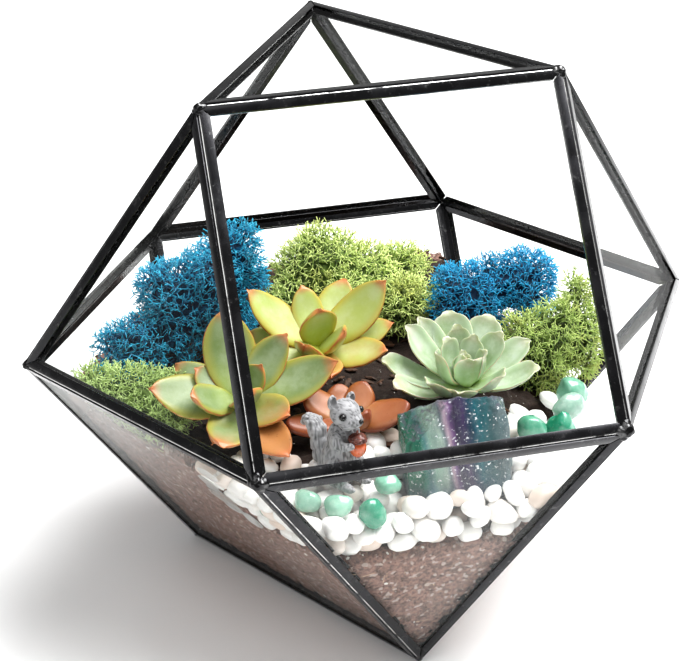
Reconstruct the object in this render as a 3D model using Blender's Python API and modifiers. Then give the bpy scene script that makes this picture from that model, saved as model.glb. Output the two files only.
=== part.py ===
"""Planted geometric terrarium: a cuboctahedron of glass panes held in metal came strips.

The case stands on one of its triangles. The square that leans back above the front is left open,
as the way in. Inside are soil, a gravel bed, a fluorite block, a squirrel, four succulents, five
clumps of reindeer moss and green tumbled stones.

The frame is +Z up, with the origin on the table under the middle of the case. The opening faces -Y.
"""

import math

import bmesh
import bpy
from mathutils import Matrix, Vector, noise

MM = 0.001

# The case
EDGE = 110 * MM  # every edge of the cuboctahedron
GLASS = 2 * MM
SLOT_PLAY = 0.15 * MM  # between a pane and the strip's leaves
LEAF = 0.35 * MM  # thickness of a strip's leaf
HEEL = 0.5 * MM  # from the case's edge to the strip's leaf, half the groove between two leaves
LEAF_WIDTH = 2.7 * MM
PANE_INSET = 1.55 * MM  # from the case's edge to the pane's rim
SOLDER_DEPTH = 0.55 * MM  # below the panes' outer face, in the groove along each edge
RIM_BAR_DEPTH = 1.1 * MM  # of the flat bar round the open face
MITRE_GAP = 0.15 * MM  # from a strip's end to the mitre plane

# The fill
FILL_INSET = 2.9 * MM  # from the case's outer planes to the soil and gravel
PLANT_INSET = 3.3 * MM
GAP = 0.3 * MM  # between neighbouring solids
FILL_TOP = 69.5 * MM  # height of the planted surface in the middle
GRAVEL_DEPTH = 16 * MM
GRAVEL_HEAP_X = -42 * MM  # where the gravel is heaped deeper
GRAVEL_HEAP_HALF_WIDTH = 16 * MM
GRAVEL_HEAP_DEPTH = 6 * MM
LAND_GRID = 10 * MM
LAND_CELLS = 26  # along each side of the square that the planted surface is cut from

# Derived from the above
HEX_HEIGHT = EDGE * math.sqrt(2 / 3)
LIFT = SLOT_PLAY + LEAF  # the base strips' leaves stand below the base pane
DIHEDRAL = math.acos(-1 / math.sqrt(3))
INNER_LEAF = GLASS + SLOT_PLAY + LEAF
INNER_CORNER = INNER_LEAF / math.tan(DIHEDRAL / 2)
SLOT_BOTTOM = PANE_INSET - SLOT_PLAY
LEAF_TIP = HEEL + LEAF_WIDTH
CENTRE = Vector((0, 0, HEX_HEIGHT + LIFT))


def clear_scene():
    for obj in list(bpy.data.objects):
        bpy.data.objects.remove(obj, do_unlink=True)


def new_collection(name):
    collection = bpy.data.collections.new(name)
    bpy.context.scene.collection.children.link(collection)
    return collection


clear_scene()
PARTS = new_collection("plant_terrarium")
CUTTERS = new_collection("cutters")
POCKETS = bpy.data.collections.new("pockets")
CUTTERS.children.link(POCKETS)


# Materials, objects and modifiers


def material(name, colour, roughness, metallic=0.0):
    finish = bpy.data.materials.new(name)
    finish.use_nodes = True
    shader = finish.node_tree.nodes["Principled BSDF"]
    shader.inputs["Base Color"].default_value = (*colour, 1)
    shader.inputs["Roughness"].default_value = roughness
    shader.inputs["Metallic"].default_value = metallic
    finish.diffuse_color = (*colour, 1)
    return finish


def add_object(name, bm, finish=None, collection=None, smooth=False):
    mesh = bpy.data.meshes.new(name)
    bm.to_mesh(mesh)
    bm.free()
    if smooth:
        mesh.shade_smooth()
    obj = bpy.data.objects.new(name, mesh)
    (collection or PARTS).objects.link(obj)
    if finish:
        mesh.materials.append(finish)
    return obj


def add_cutter(name, bm, collection=None):
    cutter = add_object(name, bm, collection=collection or CUTTERS)
    cutter.hide_render = True
    cutter.display_type = "WIRE"
    return cutter


def boolean(obj, operation, other):
    """Cuts or joins with one object, or with every object of a collection."""
    modifier = obj.modifiers.new(operation.lower(), "BOOLEAN")
    modifier.operation = operation
    if isinstance(other, bpy.types.Collection):
        modifier.operand_type = "COLLECTION"
        modifier.collection = other
    else:
        modifier.object = other
    return modifier


def remesh(obj, size):
    modifier = obj.modifiers.new("remesh", "REMESH")
    modifier.mode = "VOXEL"
    modifier.voxel_size = size
    modifier.use_smooth_shade = True


# The case: corners, faces and edges


def ring(radius, height, first_angle, count):
    step = 2 * math.pi / count
    angles = [math.radians(first_angle) + i * step for i in range(count)]
    return [Vector((radius * math.cos(a), radius * math.sin(a), height)) for a in angles]


TRIANGLE_RADIUS = EDGE / math.sqrt(3)
CORNERS = dict(
    zip(
        ("peak_back", "peak_left", "peak_right"),
        ring(TRIANGLE_RADIUS, 2 * HEX_HEIGHT + LIFT, 90, 3),
    )
)
CORNERS.update(
    zip(
        ("right", "back_right", "back_left", "left", "front_left", "front_right"),
        ring(EDGE, HEX_HEIGHT + LIFT, 0, 6),
    )
)
CORNERS.update(
    zip(("foot_front", "foot_right", "foot_left"), ring(TRIANGLE_RADIUS, LIFT, -90, 3))
)

OPENING = "opening"
FACES = {
    "top": ("peak_back", "peak_left", "peak_right"),
    "roof_left": ("peak_back", "peak_left", "left", "back_left"),
    "roof_right": ("peak_back", "back_right", "right", "peak_right"),
    "gable_back": ("peak_back", "back_left", "back_right"),
    "cheek_left": ("peak_left", "front_left", "left"),
    "cheek_right": ("peak_right", "right", "front_right"),
    OPENING: ("peak_left", "peak_right", "front_right", "front_left"),
    "front": ("front_left", "front_right", "foot_front"),
    "lower_left": ("left", "front_left", "foot_front", "foot_left"),
    "lower_right": ("front_right", "right", "foot_right", "foot_front"),
    "lower_back": ("back_right", "back_left", "foot_left", "foot_right"),
    "side_left": ("left", "foot_left", "back_left"),
    "side_right": ("right", "back_right", "foot_right"),
    "base": ("foot_front", "foot_right", "foot_left"),
}


def centroid(face):
    points = [CORNERS[name] for name in FACES[face]]
    return sum(points, Vector()) / len(points)


def outward(face):
    return (centroid(face) - CENTRE).normalized()


def face_pairs():
    """Each edge of the case: its two corners, and the two faces that meet on it."""
    found = {}
    for face, names in FACES.items():
        for start, end in zip(names, names[1:] + names[:1]):
            found.setdefault(tuple(sorted((start, end))), []).append(face)
    return found


def strip_side(face):
    """(x, y) outline of a strip's half, from its groove round to its inner corner.

    x runs from the edge into the face, and y out of it from the pane's outer side.
    """
    if face == OPENING:
        return [
            (HEEL, -SOLDER_DEPTH),
            (HEEL, LIFT),
            (LEAF_TIP, LIFT),
            (LEAF_TIP, -RIM_BAR_DEPTH),
            (INNER_CORNER, -RIM_BAR_DEPTH),
        ]
    return [
        (HEEL, -SOLDER_DEPTH),
        (HEEL, LIFT),
        (LEAF_TIP, LIFT),
        (LEAF_TIP, SLOT_PLAY),
        (SLOT_BOTTOM, SLOT_PLAY),
        (SLOT_BOTTOM, -GLASS - SLOT_PLAY),
        (LEAF_TIP, -GLASS - SLOT_PLAY),
        (LEAF_TIP, -INNER_LEAF),
    ]


def add_strip(ends, faces, finish):
    """A came strip along one edge, mitred against its neighbours in both of its faces."""
    start, end = (CORNERS[name] for name in ends)
    along = (end - start).normalized()
    middle = (start + end) / 2
    inward = {}
    for face in faces:
        across = centroid(face) - middle
        inward[face] = (across - across.dot(along) * along).normalized()

    def place(face, x, y):
        return start + x * inward[face] + y * outward(face)

    first, second = faces
    outline = [place(first, x, y) for x, y in strip_side(first)]
    outline.append(place(first, INNER_CORNER, -INNER_LEAF))
    outline += [place(second, x, y) for x, y in reversed(strip_side(second))]

    bm = bmesh.new()
    section = bm.faces.new([bm.verts.new(point) for point in outline])
    run = bmesh.ops.extrude_face_region(bm, geom=[section])["geom"]
    moved = [v for v in run if isinstance(v, bmesh.types.BMVert)]
    bmesh.ops.translate(bm, verts=moved, vec=end - start)
    for corner, direction in ((start, along), (end, -along)):
        for face in faces:
            half = math.pi * (len(FACES[face]) - 2) / len(FACES[face]) / 2
            normal = math.sin(half) * direction - math.cos(half) * inward[face]
            cut_flat(bm, corner + MITRE_GAP * normal, -normal)
    bmesh.ops.recalc_face_normals(bm, faces=bm.faces)
    return add_object(f"came_{ends[0]}_to_{ends[1]}", bm, finish)


def cut_flat(bm, point, normal):
    """Removes what lies beyond the plane on the side its normal points to, and closes the cut."""
    everything = bm.verts[:] + bm.edges[:] + bm.faces[:]
    cut = bmesh.ops.bisect_plane(
        bm, geom=everything, plane_co=point, plane_no=normal, clear_outer=True
    )
    edges = [e for e in cut["geom_cut"] if isinstance(e, bmesh.types.BMEdge)]
    bmesh.ops.contextual_create(bm, geom=edges)


def add_pane(face, finish):
    """A flat pane, smaller than its face of the case by the inset all round."""
    sides = len(FACES[face])
    inner_radius = EDGE / 2 / math.tan(math.pi / sides) - PANE_INSET
    radius = inner_radius / math.cos(math.pi / sides)
    bm = bmesh.new()
    bmesh.ops.create_cone(
        bm, cap_ends=True, segments=sides, radius1=radius, radius2=radius, depth=GLASS
    )
    pane = add_object(f"pane_{face}", bm, finish)
    normal = outward(face)
    middle = centroid(face)
    to_corner = (CORNERS[FACES[face][0]] - middle).normalized()
    turn = Matrix((to_corner.cross(normal), to_corner, normal)).transposed()
    pane.matrix_world = Matrix.Translation(middle - GLASS / 2 * normal) @ turn.to_4x4()
    return pane


def inside_of_case(inset):
    """A closed solid that fills the case up to this far from its outer planes."""
    bm = bmesh.new()
    bmesh.ops.create_cube(bm, size=4 * EDGE, matrix=Matrix.Translation(CENTRE))
    for face in FACES:
        normal = outward(face)
        cut_flat(bm, centroid(face) - inset * normal, normal)
    bmesh.ops.recalc_face_normals(bm, faces=bm.faces)
    return bm


# The fill


def land_height(x, y):
    """Height of the planted surface, banked up at the left and the back, low at the right."""
    left_bank = 0.15 * max(0, -58 * MM - x)
    right_fall = 0.8 * max(0, x - 46 * MM)
    front_fall = 0.12 * max(0, -50 * MM - y)
    back_rise = 0.1 * max(0, y)
    return FILL_TOP + left_bank - right_fall - front_fall + back_rise


def gravel_floor(x, y):
    """Height of the soil under the gravel, which is heaped deeper in the front left corner."""
    corner = max(0, 1 - abs(x - GRAVEL_HEAP_X) / GRAVEL_HEAP_HALF_WIDTH)
    return land_height(x, y) - GRAVEL_DEPTH - GRAVEL_HEAP_DEPTH * corner


def land(name, offset, surface=land_height, upwards=False):
    """A cutter that holds all below a surface, or all above it."""
    half = LAND_CELLS * LAND_GRID / 2
    bm = bmesh.new()
    bmesh.ops.create_grid(bm, x_segments=LAND_CELLS, y_segments=LAND_CELLS, size=half)
    for vert in bm.verts:
        vert.co.z = surface(vert.co.x, vert.co.y) + offset
    run = bmesh.ops.extrude_face_region(bm, geom=bm.faces[:])["geom"]
    for vert in (v for v in run if isinstance(v, bmesh.types.BMVert)):
        vert.co.z = 2.5 * EDGE if upwards else -EDGE
    bmesh.ops.recalc_face_normals(bm, faces=bm.faces)
    return add_cutter(name, bm)


# The gravel's outline seen from above: along the front, and back a little way at the right
GRAVEL_OUTLINE = (
    (-140, -140),
    (140, -140),
    (140, -24),
    (40, -30),
    (30, -49),
    (-38, -49),
    (-62, -42),
    (-140, -42),
)


def gravel_block(name, grown):
    """A cutter for the gravel's place, grown by a gap for cutting it out of the soil."""
    bm = bmesh.new()
    corners = [bm.verts.new((x * MM, y * MM + grown, 0)) for x, y in GRAVEL_OUTLINE]
    floor = bm.faces.new(corners)
    run = bmesh.ops.extrude_face_region(bm, geom=[floor])["geom"]
    moved = [v for v in run if isinstance(v, bmesh.types.BMVert)]
    bmesh.ops.translate(bm, verts=moved, vec=(0, 0, 2 * EDGE))
    bmesh.ops.recalc_face_normals(bm, faces=bm.faces)
    block = add_cutter(name, bm)
    boolean(block, "INTERSECT", land(f"{name}_floor", -grown, gravel_floor, upwards=True))
    return block


def add_fill(soil_finish, gravel_finish):
    land_below = land("land_below", 0)
    soil = add_object("potting_soil", inside_of_case(FILL_INSET), soil_finish)
    boolean(soil, "INTERSECT", land_below)
    boolean(soil, "DIFFERENCE", gravel_block("gravel_room", GAP))
    boolean(soil, "DIFFERENCE", POCKETS)
    gravel = add_object("white_gravel_bed", inside_of_case(FILL_INSET), gravel_finish)
    boolean(gravel, "INTERSECT", land_below)
    boolean(gravel, "INTERSECT", gravel_block("gravel_place", 0))
    boolean(gravel, "DIFFERENCE", POCKETS)


def add_pocket(obj, bm):
    """Keeps a copy of a settled solid, a gap larger all round, to be cut out of the fill."""
    size = max(max(v.co.length for v in bm.verts), 4 * MM)
    bmesh.ops.scale(bm, verts=bm.verts, vec=[1 + 1.6 * GAP / size] * 3)
    pocket = add_cutter(f"{obj.name}_pocket", bm, POCKETS)
    pocket.matrix_world = obj.matrix_world


# Stones


def rough(bm, amount, scale, seed):
    """Moves each point along its own direction by smooth noise."""
    for vert in bm.verts:
        where = vert.co / scale + Vector((seed, 0, 0))
        vert.co += vert.co.normalized() * amount * noise.noise(where)


FLUORITE_SIZE = (32 * MM, 19 * MM, 28 * MM)
FLUORITE_PLACE = (12.5 * MM, -63 * MM, 72.5 * MM)
FLUORITE_TURN = (0, -3, -6)  # degrees
# Each cleaved corner: the way it faces, and how far out it is, as a share of the half size
FLUORITE_CLEAVES = (
    ((-1, -0.2, 0.9), 1.18),
    ((1, -0.3, 1.0), 1.22),
    ((0.2, -1, 1.1), 1.22),
    ((-1, -0.8, -0.2), 1.25),
    ((1, -0.9, 0.1), 1.28),
    ((0.9, 0.8, 0.6), 1.4),
    ((-0.9, 0.7, 0.5), 1.4),
    ((0.1, -0.9, -1.1), 1.3),
)


def fluorite_block(grown=0.0):
    bm = bmesh.new()
    bmesh.ops.create_cube(bm, size=2)
    for direction, distance in FLUORITE_CLEAVES:
        normal = Vector(direction).normalized()
        cut_flat(bm, distance * normal, normal)
    half = [side / 2 + grown for side in FLUORITE_SIZE]
    bmesh.ops.scale(bm, verts=bm.verts, vec=half)
    bmesh.ops.triangulate(bm, faces=bm.faces)
    bmesh.ops.recalc_face_normals(bm, faces=bm.faces)
    return bm


def add_fluorite(finish):
    block = add_object("fluorite_block", fluorite_block(), finish)
    block.location = FLUORITE_PLACE
    block.rotation_euler = [math.radians(angle) for angle in FLUORITE_TURN]
    bpy.context.view_layer.update()
    pocket = add_cutter("fluorite_pocket", fluorite_block(GAP), POCKETS)
    pocket.matrix_world = block.matrix_world


# Each tumbled stone: its place, its half sizes and its turn about Z in degrees
GREEN_STONES = {
    "front_emerald": ((-18, -79.5, 66.5), (4.2, 3.6, 5.0), 20),
    "front_mint": ((-27, -75, 68), (4.6, 3.8, 3.6), -15),
    "front_pale": ((-36, -71, 68.5), (4.4, 3.8, 3.4), 30),
    "beside_fluorite": ((-10.5, -69, 69.5), (3.8, 3.6, 3.2), 0),
    "left_upper": ((-51.5, -48.5, 64.5), (4.2, 3.6, 3.2), 50),
    "left_lower": ((-44, -54, 59.5), (4.2, 3.6, 3.4), 50),
    "right_bright": ((41.8, -49, 69.5), (4.8, 4.2, 4.6), 10),
    "right_emerald": ((51.8, -47.6, 67.5), (4.8, 4.2, 6.2), 0),
    "right_pale": ((56.5, -40, 71), (5.4, 3.8, 4.4), 25),
    "right_back": ((61, -30, 70), (5.0, 4.6, 5.2), 0),
}


def add_green_stone(name, place, half_sizes, turn, finish, seed):
    bm = bmesh.new()
    bmesh.ops.create_icosphere(bm, subdivisions=2, radius=1)
    rough(bm, 0.35, 1.1, seed)
    bmesh.ops.scale(bm, verts=bm.verts, vec=[size * MM for size in half_sizes])
    pocket = bm.copy()
    stone = add_object(f"green_stone_{name}", bm, finish, smooth=True)
    stone.location = [value * MM for value in place]
    stone.rotation_euler.z = math.radians(turn)
    bpy.context.view_layer.update()
    add_pocket(stone, pocket)


# Reindeer moss: each clump is a few lobes, given by their centre and half sizes
MOSS_CLUMPS = {
    "blue_left": (
        ((-49, 20, 97), (20, 18, 26)),
        ((-73, 8, 92), (16, 13, 18)),
        ((-38, 22, 107), (13, 14, 20)),
    ),
    "green_centre": (
        ((-6, 42, 92), (17, 15, 21)),
        ((12, 44, 90), (18, 14, 20)),
        ((13, 24, 84), (13, 11, 15)),
        ((27, 46, 86), (11, 11, 16)),
    ),
    "blue_right": (
        ((45, 18, 82), (14, 14, 20)),
        ((61, 19, 86), (16, 13, 20)),
    ),
    "green_right": (
        ((59, -10, 74), (14, 13, 19)),
        ((69, -9, 80), (13, 12, 19)),
    ),
    "green_front_left": (
        ((-80, -16, 84), (15, 10, 12)),
        ((-71, -25, 76), (12, 8, 8)),
    ),
}
MOSS_VOXEL = 5 * MM


def add_moss(name, lobes, finish, room, ground):
    bm = bmesh.new()
    for centre, half_sizes in lobes:
        place = Matrix.Translation([value * MM for value in centre])
        stretch = Matrix.Diagonal([*(size * MM for size in half_sizes), 1])
        bmesh.ops.create_icosphere(bm, subdivisions=3, radius=1, matrix=place @ stretch)
    clump = add_object(f"reindeer_moss_{name}", bm, finish)
    remesh(clump, MOSS_VOXEL)
    boolean(clump, "INTERSECT", room)
    boolean(clump, "DIFFERENCE", ground)


# Succulents: a leaf is (azimuth, elevation, length, width), in degrees and millimetres. Azimuth
# counts from +X towards +Y.
GOLDEN_LEFT_LEAVES = (
    (180, 14, 28, 15),
    (92, 60, 28, 16),
    (20, 42, 25, 13),
    (-10, 18, 33, 15),
    (-50, -2, 20, 14),
    (-112, -8, 26, 14),
    (-68, -18, 29, 14),
    (150, 34, 16, 12),
    (128, 8, 25, 14),
)
GOLDEN_CENTRE_LEAVES = (
    (158, 38, 29, 14),
    (4, 38, 30, 14),
    (-95, 68, 19, 13),
    (52, 34, 25, 13),
    (-168, 6, 20, 12),
    (-38, 4, 24, 13),
    (-2, 10, 25, 12),
    (166, 8, 23, 13),
)
RED_LEAVES = (
    (150, 30, 16, 11),
    (178, 2, 19, 10),
    (-14, 12, 20, 12),
    (42, 34, 14, 10),
    (92, 30, 13, 10),
)
ECHEVERIA_LEAVES = (
    (86, 34, 28, 16),
    (46, 28, 26, 16),
    (10, 10, 28, 15),
    (-24, 0, 29, 12),
    (152, 28, 27, 14),
    (116, 36, 26, 14),
    (170, 10, 29, 13),
    (-166, 4, 26, 12),
    (-142, 14, 20, 12),
    (-58, 16, 20, 12),
    (-96, 40, 13, 12),
    (80, 62, 18, 10),
    (-20, 40, 16, 11),
    (-160, 42, 16, 10),
    (140, 58, 15, 9),
)
# Each plant: its heart, its stem's radius, its leaves, the leaf's thickness and how spoon-shaped
# it is, from 0 for widest low down to 1 for widest near the tip
PLANTS = {
    "golden_sedum_left": ((-48, -31, 84), 4.0, GOLDEN_LEFT_LEAVES, 3.6, 0.3),
    "golden_sedum_centre": ((-18, -12, 89), 3.6, GOLDEN_CENTRE_LEAVES, 3.6, 0.25),
    "red_sedum": ((-16, -41, 77), 3.4, RED_LEAVES, 4.4, 0.4),
    "echeveria": ((25, -30, 78), 4.4, ECHEVERIA_LEAVES, 2.6, 0.8),
}


def leaf(azimuth, elevation, length, width, thickness, spoon):
    """A fat pointed leaf from the plant's heart, cupped upwards a little."""
    bm = bmesh.new()
    bmesh.ops.create_uvsphere(bm, u_segments=8, v_segments=7, radius=1)
    bmesh.ops.rotate(bm, verts=bm.verts, matrix=Matrix.Rotation(-math.pi / 2, 3, "X"))
    for vert in bm.verts:
        reach = (vert.co.y + 1) / 2
        fullness = 0.45 + 0.55 * min(1, reach / (0.35 + 0.35 * spoon))
        cup = 0.08 * length * (reach**2 + (vert.co.x) ** 2 * 0.5)
        vert.co.x *= width / 2 * fullness
        vert.co.z = vert.co.z * thickness / 2 + cup
        vert.co.y = reach * length
    tilt = Matrix.Rotation(math.radians(elevation), 4, "X")
    turn = Matrix.Rotation(math.radians(azimuth - 90), 4, "Z")
    bmesh.ops.scale(bm, verts=bm.verts, vec=[MM] * 3)
    bmesh.ops.transform(bm, verts=bm.verts, matrix=turn @ tilt)
    bmesh.ops.recalc_face_normals(bm, faces=bm.faces)
    return bm


def add_plant(name, heart, stem_radius, leaves, thickness, spoon, finish):
    place = Matrix.Translation([value * MM for value in heart])
    foot = land_height(heart[0] * MM, heart[1] * MM) + GAP
    height = heart[2] * MM - foot + 1.5 * MM
    bm = bmesh.new()
    bmesh.ops.create_cone(
        bm,
        cap_ends=True,
        segments=10,
        radius1=stem_radius * MM,
        radius2=stem_radius * MM,
        depth=height,
        matrix=Matrix.Translation((heart[0] * MM, heart[1] * MM, foot + height / 2)),
    )
    plant = add_object(name, bm, finish, smooth=True)
    whorl = bpy.data.collections.new(f"{name}_leaves")
    CUTTERS.children.link(whorl)
    for number, shape in enumerate(leaves, 1):
        blade = leaf(*shape, thickness, spoon)
        bmesh.ops.transform(blade, verts=blade.verts, matrix=place)
        add_cutter(f"{name}_leaf_{number}", blade, whorl)
    boolean(plant, "UNION", whorl)


# The squirrel sits up on its haunches with an acorn in its paws: lobes given by their centre and
# half sizes, facing +X, before it is turned and placed
SQUIRREL_LOBES = (
    ((-0.5, 0, 7.5), (6.2, 5.4, 8.0)),
    ((1.5, 0, 14), (4.6, 4.4, 6.0)),
    ((1.6, 3.6, 5.5), (5.2, 2.8, 5.2)),
    ((1.6, -3.6, 5.5), (5.2, 2.8, 5.2)),
    ((5.0, 3.4, 1.6), (4.4, 1.9, 1.6)),
    ((5.0, -3.4, 1.6), (4.4, 1.9, 1.6)),
    ((3.6, 0, 21.2), (4.9, 4.3, 4.2)),
    ((7.6, 0, 19.8), (3.0, 2.3, 2.1)),
    ((1.4, 3.0, 24.6), (1.4, 1.7, 2.4)),
    ((1.4, -3.0, 24.6), (1.4, 1.7, 2.4)),
    ((5.2, 2.6, 13.2), (3.4, 1.7, 1.9)),
    ((5.2, -2.6, 13.2), (3.4, 1.7, 1.9)),
    ((8.2, 0, 9.8), (3.2, 3.2, 4.2)),
    ((8.2, 0, 13.0), (3.5, 3.5, 2.0)),
    ((-6.0, 0, 4.4), (3.4, 3.0, 4.0)),
    ((-8.6, 0, 9.4), (3.2, 3.2, 5.0)),
    ((-9.2, 0, 14.6), (3.3, 3.4, 4.2)),
    ((-10.4, 0, 18.0), (3.0, 3.0, 2.8)),
)
SQUIRREL_PLACE = (-23 * MM, -62 * MM, 68.6 * MM)
SQUIRREL_FACING = -38  # degrees from +X
SQUIRREL_VOXEL = 1.5 * MM


def add_squirrel(finish):
    place = Matrix.Translation(SQUIRREL_PLACE)
    place = place @ Matrix.Rotation(math.radians(SQUIRREL_FACING), 4, "Z")
    place = place @ Matrix.Scale(MM, 4)
    bm = bmesh.new()
    for centre, half_sizes in SQUIRREL_LOBES:
        lobe = place @ Matrix.Translation(centre) @ Matrix.Diagonal([*half_sizes, 1])
        bmesh.ops.create_icosphere(bm, subdivisions=3, radius=1, matrix=lobe)
    squirrel = add_object("squirrel_figurine", bm, finish)
    remesh(squirrel, SQUIRREL_VOXEL)


# The whole terrarium


def build():
    black_metal = material("blackened_came", (0.035, 0.035, 0.038), 0.42, 1.0)
    glass = material("clear_glass", (0.88, 0.93, 0.93), 0.05)
    soil = material("potting_soil", (0.11, 0.066, 0.05), 0.95)
    gravel = material("white_gravel", (0.86, 0.85, 0.83), 0.45)
    fluorite = material("banded_fluorite", (0.16, 0.2, 0.28), 0.15)
    resin = material("grey_resin", (0.3, 0.31, 0.33), 0.5)
    green_stone = material("green_stone", (0.08, 0.42, 0.26), 0.15)
    blue_moss = material("blue_moss", (0.01, 0.13, 0.32), 0.9)
    green_moss = material("green_moss", (0.32, 0.46, 0.14), 0.9)
    golden_leaf = material("golden_leaf", (0.47, 0.52, 0.14), 0.4)
    red_leaf = material("red_leaf", (0.5, 0.14, 0.06), 0.4)
    pale_leaf = material("pale_green_leaf", (0.45, 0.6, 0.42), 0.45)

    for ends, faces in face_pairs().items():
        add_strip(ends, faces, black_metal)
    for face in FACES:
        if face != OPENING:
            add_pane(face, glass)

    add_fluorite(fluorite)
    for seed, (name, (place, half_sizes, turn)) in enumerate(GREEN_STONES.items()):
        add_green_stone(name, place, half_sizes, turn, green_stone, seed)
    add_fill(soil, gravel)
    add_squirrel(resin)

    room = add_cutter("room_for_moss", inside_of_case(PLANT_INSET))
    ground = land("ground_under_moss", GAP)
    for name, lobes in MOSS_CLUMPS.items():
        moss = blue_moss if name.startswith("blue") else green_moss
        add_moss(name, lobes, moss, room, ground)

    leaf_finishes = {"red_sedum": red_leaf, "echeveria": pale_leaf}
    for name, shape in PLANTS.items():
        add_plant(name, *shape, leaf_finishes.get(name, golden_leaf))


build()
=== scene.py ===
"""The looks of a planted glass terrarium, built round its packed frame.

Every piece of the terrarium has an operator of its own. The Terrarium tab in the 3D view's sidebar
lists them, with their sizes and colours. Run as a script, it builds them all, and the stage.

Metres, +Z up. The open face of the case looks along -Y.
"""

import math
from collections import namedtuple
from random import Random

import bmesh
import bpy
import numpy as np
from mathutils import Euler, Matrix, Vector, noise
from mathutils.bvhtree import BVHTree


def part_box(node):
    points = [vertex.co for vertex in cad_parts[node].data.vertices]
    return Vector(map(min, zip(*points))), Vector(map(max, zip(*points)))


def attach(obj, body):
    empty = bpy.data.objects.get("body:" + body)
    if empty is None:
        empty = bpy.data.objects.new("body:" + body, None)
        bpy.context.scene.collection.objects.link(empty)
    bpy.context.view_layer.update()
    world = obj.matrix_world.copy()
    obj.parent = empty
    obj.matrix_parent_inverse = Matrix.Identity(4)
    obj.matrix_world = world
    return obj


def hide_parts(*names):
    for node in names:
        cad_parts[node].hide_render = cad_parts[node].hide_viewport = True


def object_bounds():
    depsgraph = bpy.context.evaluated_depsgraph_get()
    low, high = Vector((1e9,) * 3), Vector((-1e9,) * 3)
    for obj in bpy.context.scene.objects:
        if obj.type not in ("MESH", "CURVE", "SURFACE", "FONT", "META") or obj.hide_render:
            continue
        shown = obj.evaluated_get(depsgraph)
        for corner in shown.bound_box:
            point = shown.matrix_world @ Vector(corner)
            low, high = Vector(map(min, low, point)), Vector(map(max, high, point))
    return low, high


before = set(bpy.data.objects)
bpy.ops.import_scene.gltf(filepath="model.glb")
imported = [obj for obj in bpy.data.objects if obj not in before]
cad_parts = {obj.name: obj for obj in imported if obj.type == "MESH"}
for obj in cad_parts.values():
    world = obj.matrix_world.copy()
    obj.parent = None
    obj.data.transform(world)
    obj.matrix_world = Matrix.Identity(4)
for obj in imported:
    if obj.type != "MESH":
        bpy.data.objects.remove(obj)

bl_info = {
    "name": "Planted Glass Terrarium",
    "version": (1, 0, 0),
    "blender": (4, 5, 0),
    "location": "View3D > Sidebar > Terrarium",
    "description": "Builds a faceted glass terrarium with succulents, moss and gravel",
    "category": "Add Mesh",
}

MM = 0.001
BODY = "root"

# The case, a cuboctahedron that stands on one of its triangles
CAD_LOW, CAD_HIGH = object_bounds()
EDGE = round(CAD_HIGH.x, 3)
LEAF = 0.5 * MM  # the base strips' leaves and play stand below the base pane
HEX_HEIGHT = EDGE * math.sqrt(2 / 3)
CENTRE = Vector((0, 0, HEX_HEIGHT + LEAF))
SQUARE_REACH = EDGE / math.sqrt(2)  # from the centre to a square face
TRIANGLE_REACH = HEX_HEIGHT
GLASS_INSIDE = 2.05 * MM  # from the case's outer planes to just inside the panes
FLOOR_GAP = 0.05 * MM  # the least height of the solder above the floor
SEAM_SINK = 0.42  # mm from an edge of the case to the middle of its solder line
BY_GLASS = 5 * MM  # soil nearer than this to the outer planes lies against a pane
GRAVEL_COUNT = 190
LOOSE_COUNT = 26
BARK_COUNT = 420


def ring(radius, height, first_angle, count):
    step = 2 * math.pi / count
    angles = [math.radians(first_angle) + i * step for i in range(count)]
    return [Vector((radius * math.cos(a), radius * math.sin(a), height)) for a in angles]


def case_corners():
    """The twelve corners by name, from the peaks down to the feet."""
    small = EDGE / math.sqrt(3)
    names = ("peak_back", "peak_left", "peak_right")
    corners = dict(zip(names, ring(small, 2 * HEX_HEIGHT + LEAF, 90, 3)))
    names = ("right", "back_right", "back_left", "left", "front_left", "front_right")
    corners.update(zip(names, ring(EDGE, HEX_HEIGHT + LEAF, 0, 6)))
    names = ("foot_front", "foot_right", "foot_left")
    corners.update(zip(names, ring(small, LEAF, -90, 3)))
    return corners


CORNERS = case_corners()


def case_planes():
    """Each face of the case, as its outward normal and its reach from the centre."""
    front_and_sides, back_and_sides = (-90, 30, 150), (90, 210, 330)
    squares = [(a, 1) for a in front_and_sides] + [(a, -1) for a in back_and_sides]
    triangles = [(a, 1) for a in back_and_sides] + [(a, -1) for a in front_and_sides]
    kinds = (
        (squares, math.sqrt(2 / 3), math.sqrt(3), SQUARE_REACH),
        (triangles, math.sqrt(8) / 3, 3, TRIANGLE_REACH),
    )
    planes = []
    for faces, tilt, steepness, reach in kinds:
        for angle, up in faces:
            turn = math.radians(angle)
            normal = Vector((tilt * math.cos(turn), tilt * math.sin(turn), up / steepness))
            planes.append((normal, reach))
    planes += [(Vector((0, 0, 1)), TRIANGLE_REACH), (Vector((0, 0, -1)), TRIANGLE_REACH)]
    return planes


PLANES = case_planes()
PLANE_NORMALS = np.array([normal for normal, _ in PLANES])
PLANE_REACHES = np.array([reach for _, reach in PLANES])


def room_left(points):
    """How far inside the nearest outer plane of the case each point lies."""
    reached = (np.asarray(points) - np.array(CENTRE)) @ PLANE_NORMALS.T
    return (PLANE_REACHES - reached).min(axis=1)


# Properties


def size_property(name, text, value):
    return bpy.props.FloatProperty(
        name=name, description=text, default=value, min=0.0, unit="LENGTH", precision=5
    )


def colour_property(name, text, value):
    return bpy.props.FloatVectorProperty(
        name=name, description=text, default=value, size=3, min=0.0, max=1.0, subtype="COLOR"
    )


def share_property(name, text, value):
    return bpy.props.FloatProperty(
        name=name, description=text, default=value, min=0.0, max=1.0, subtype="FACTOR"
    )


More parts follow.
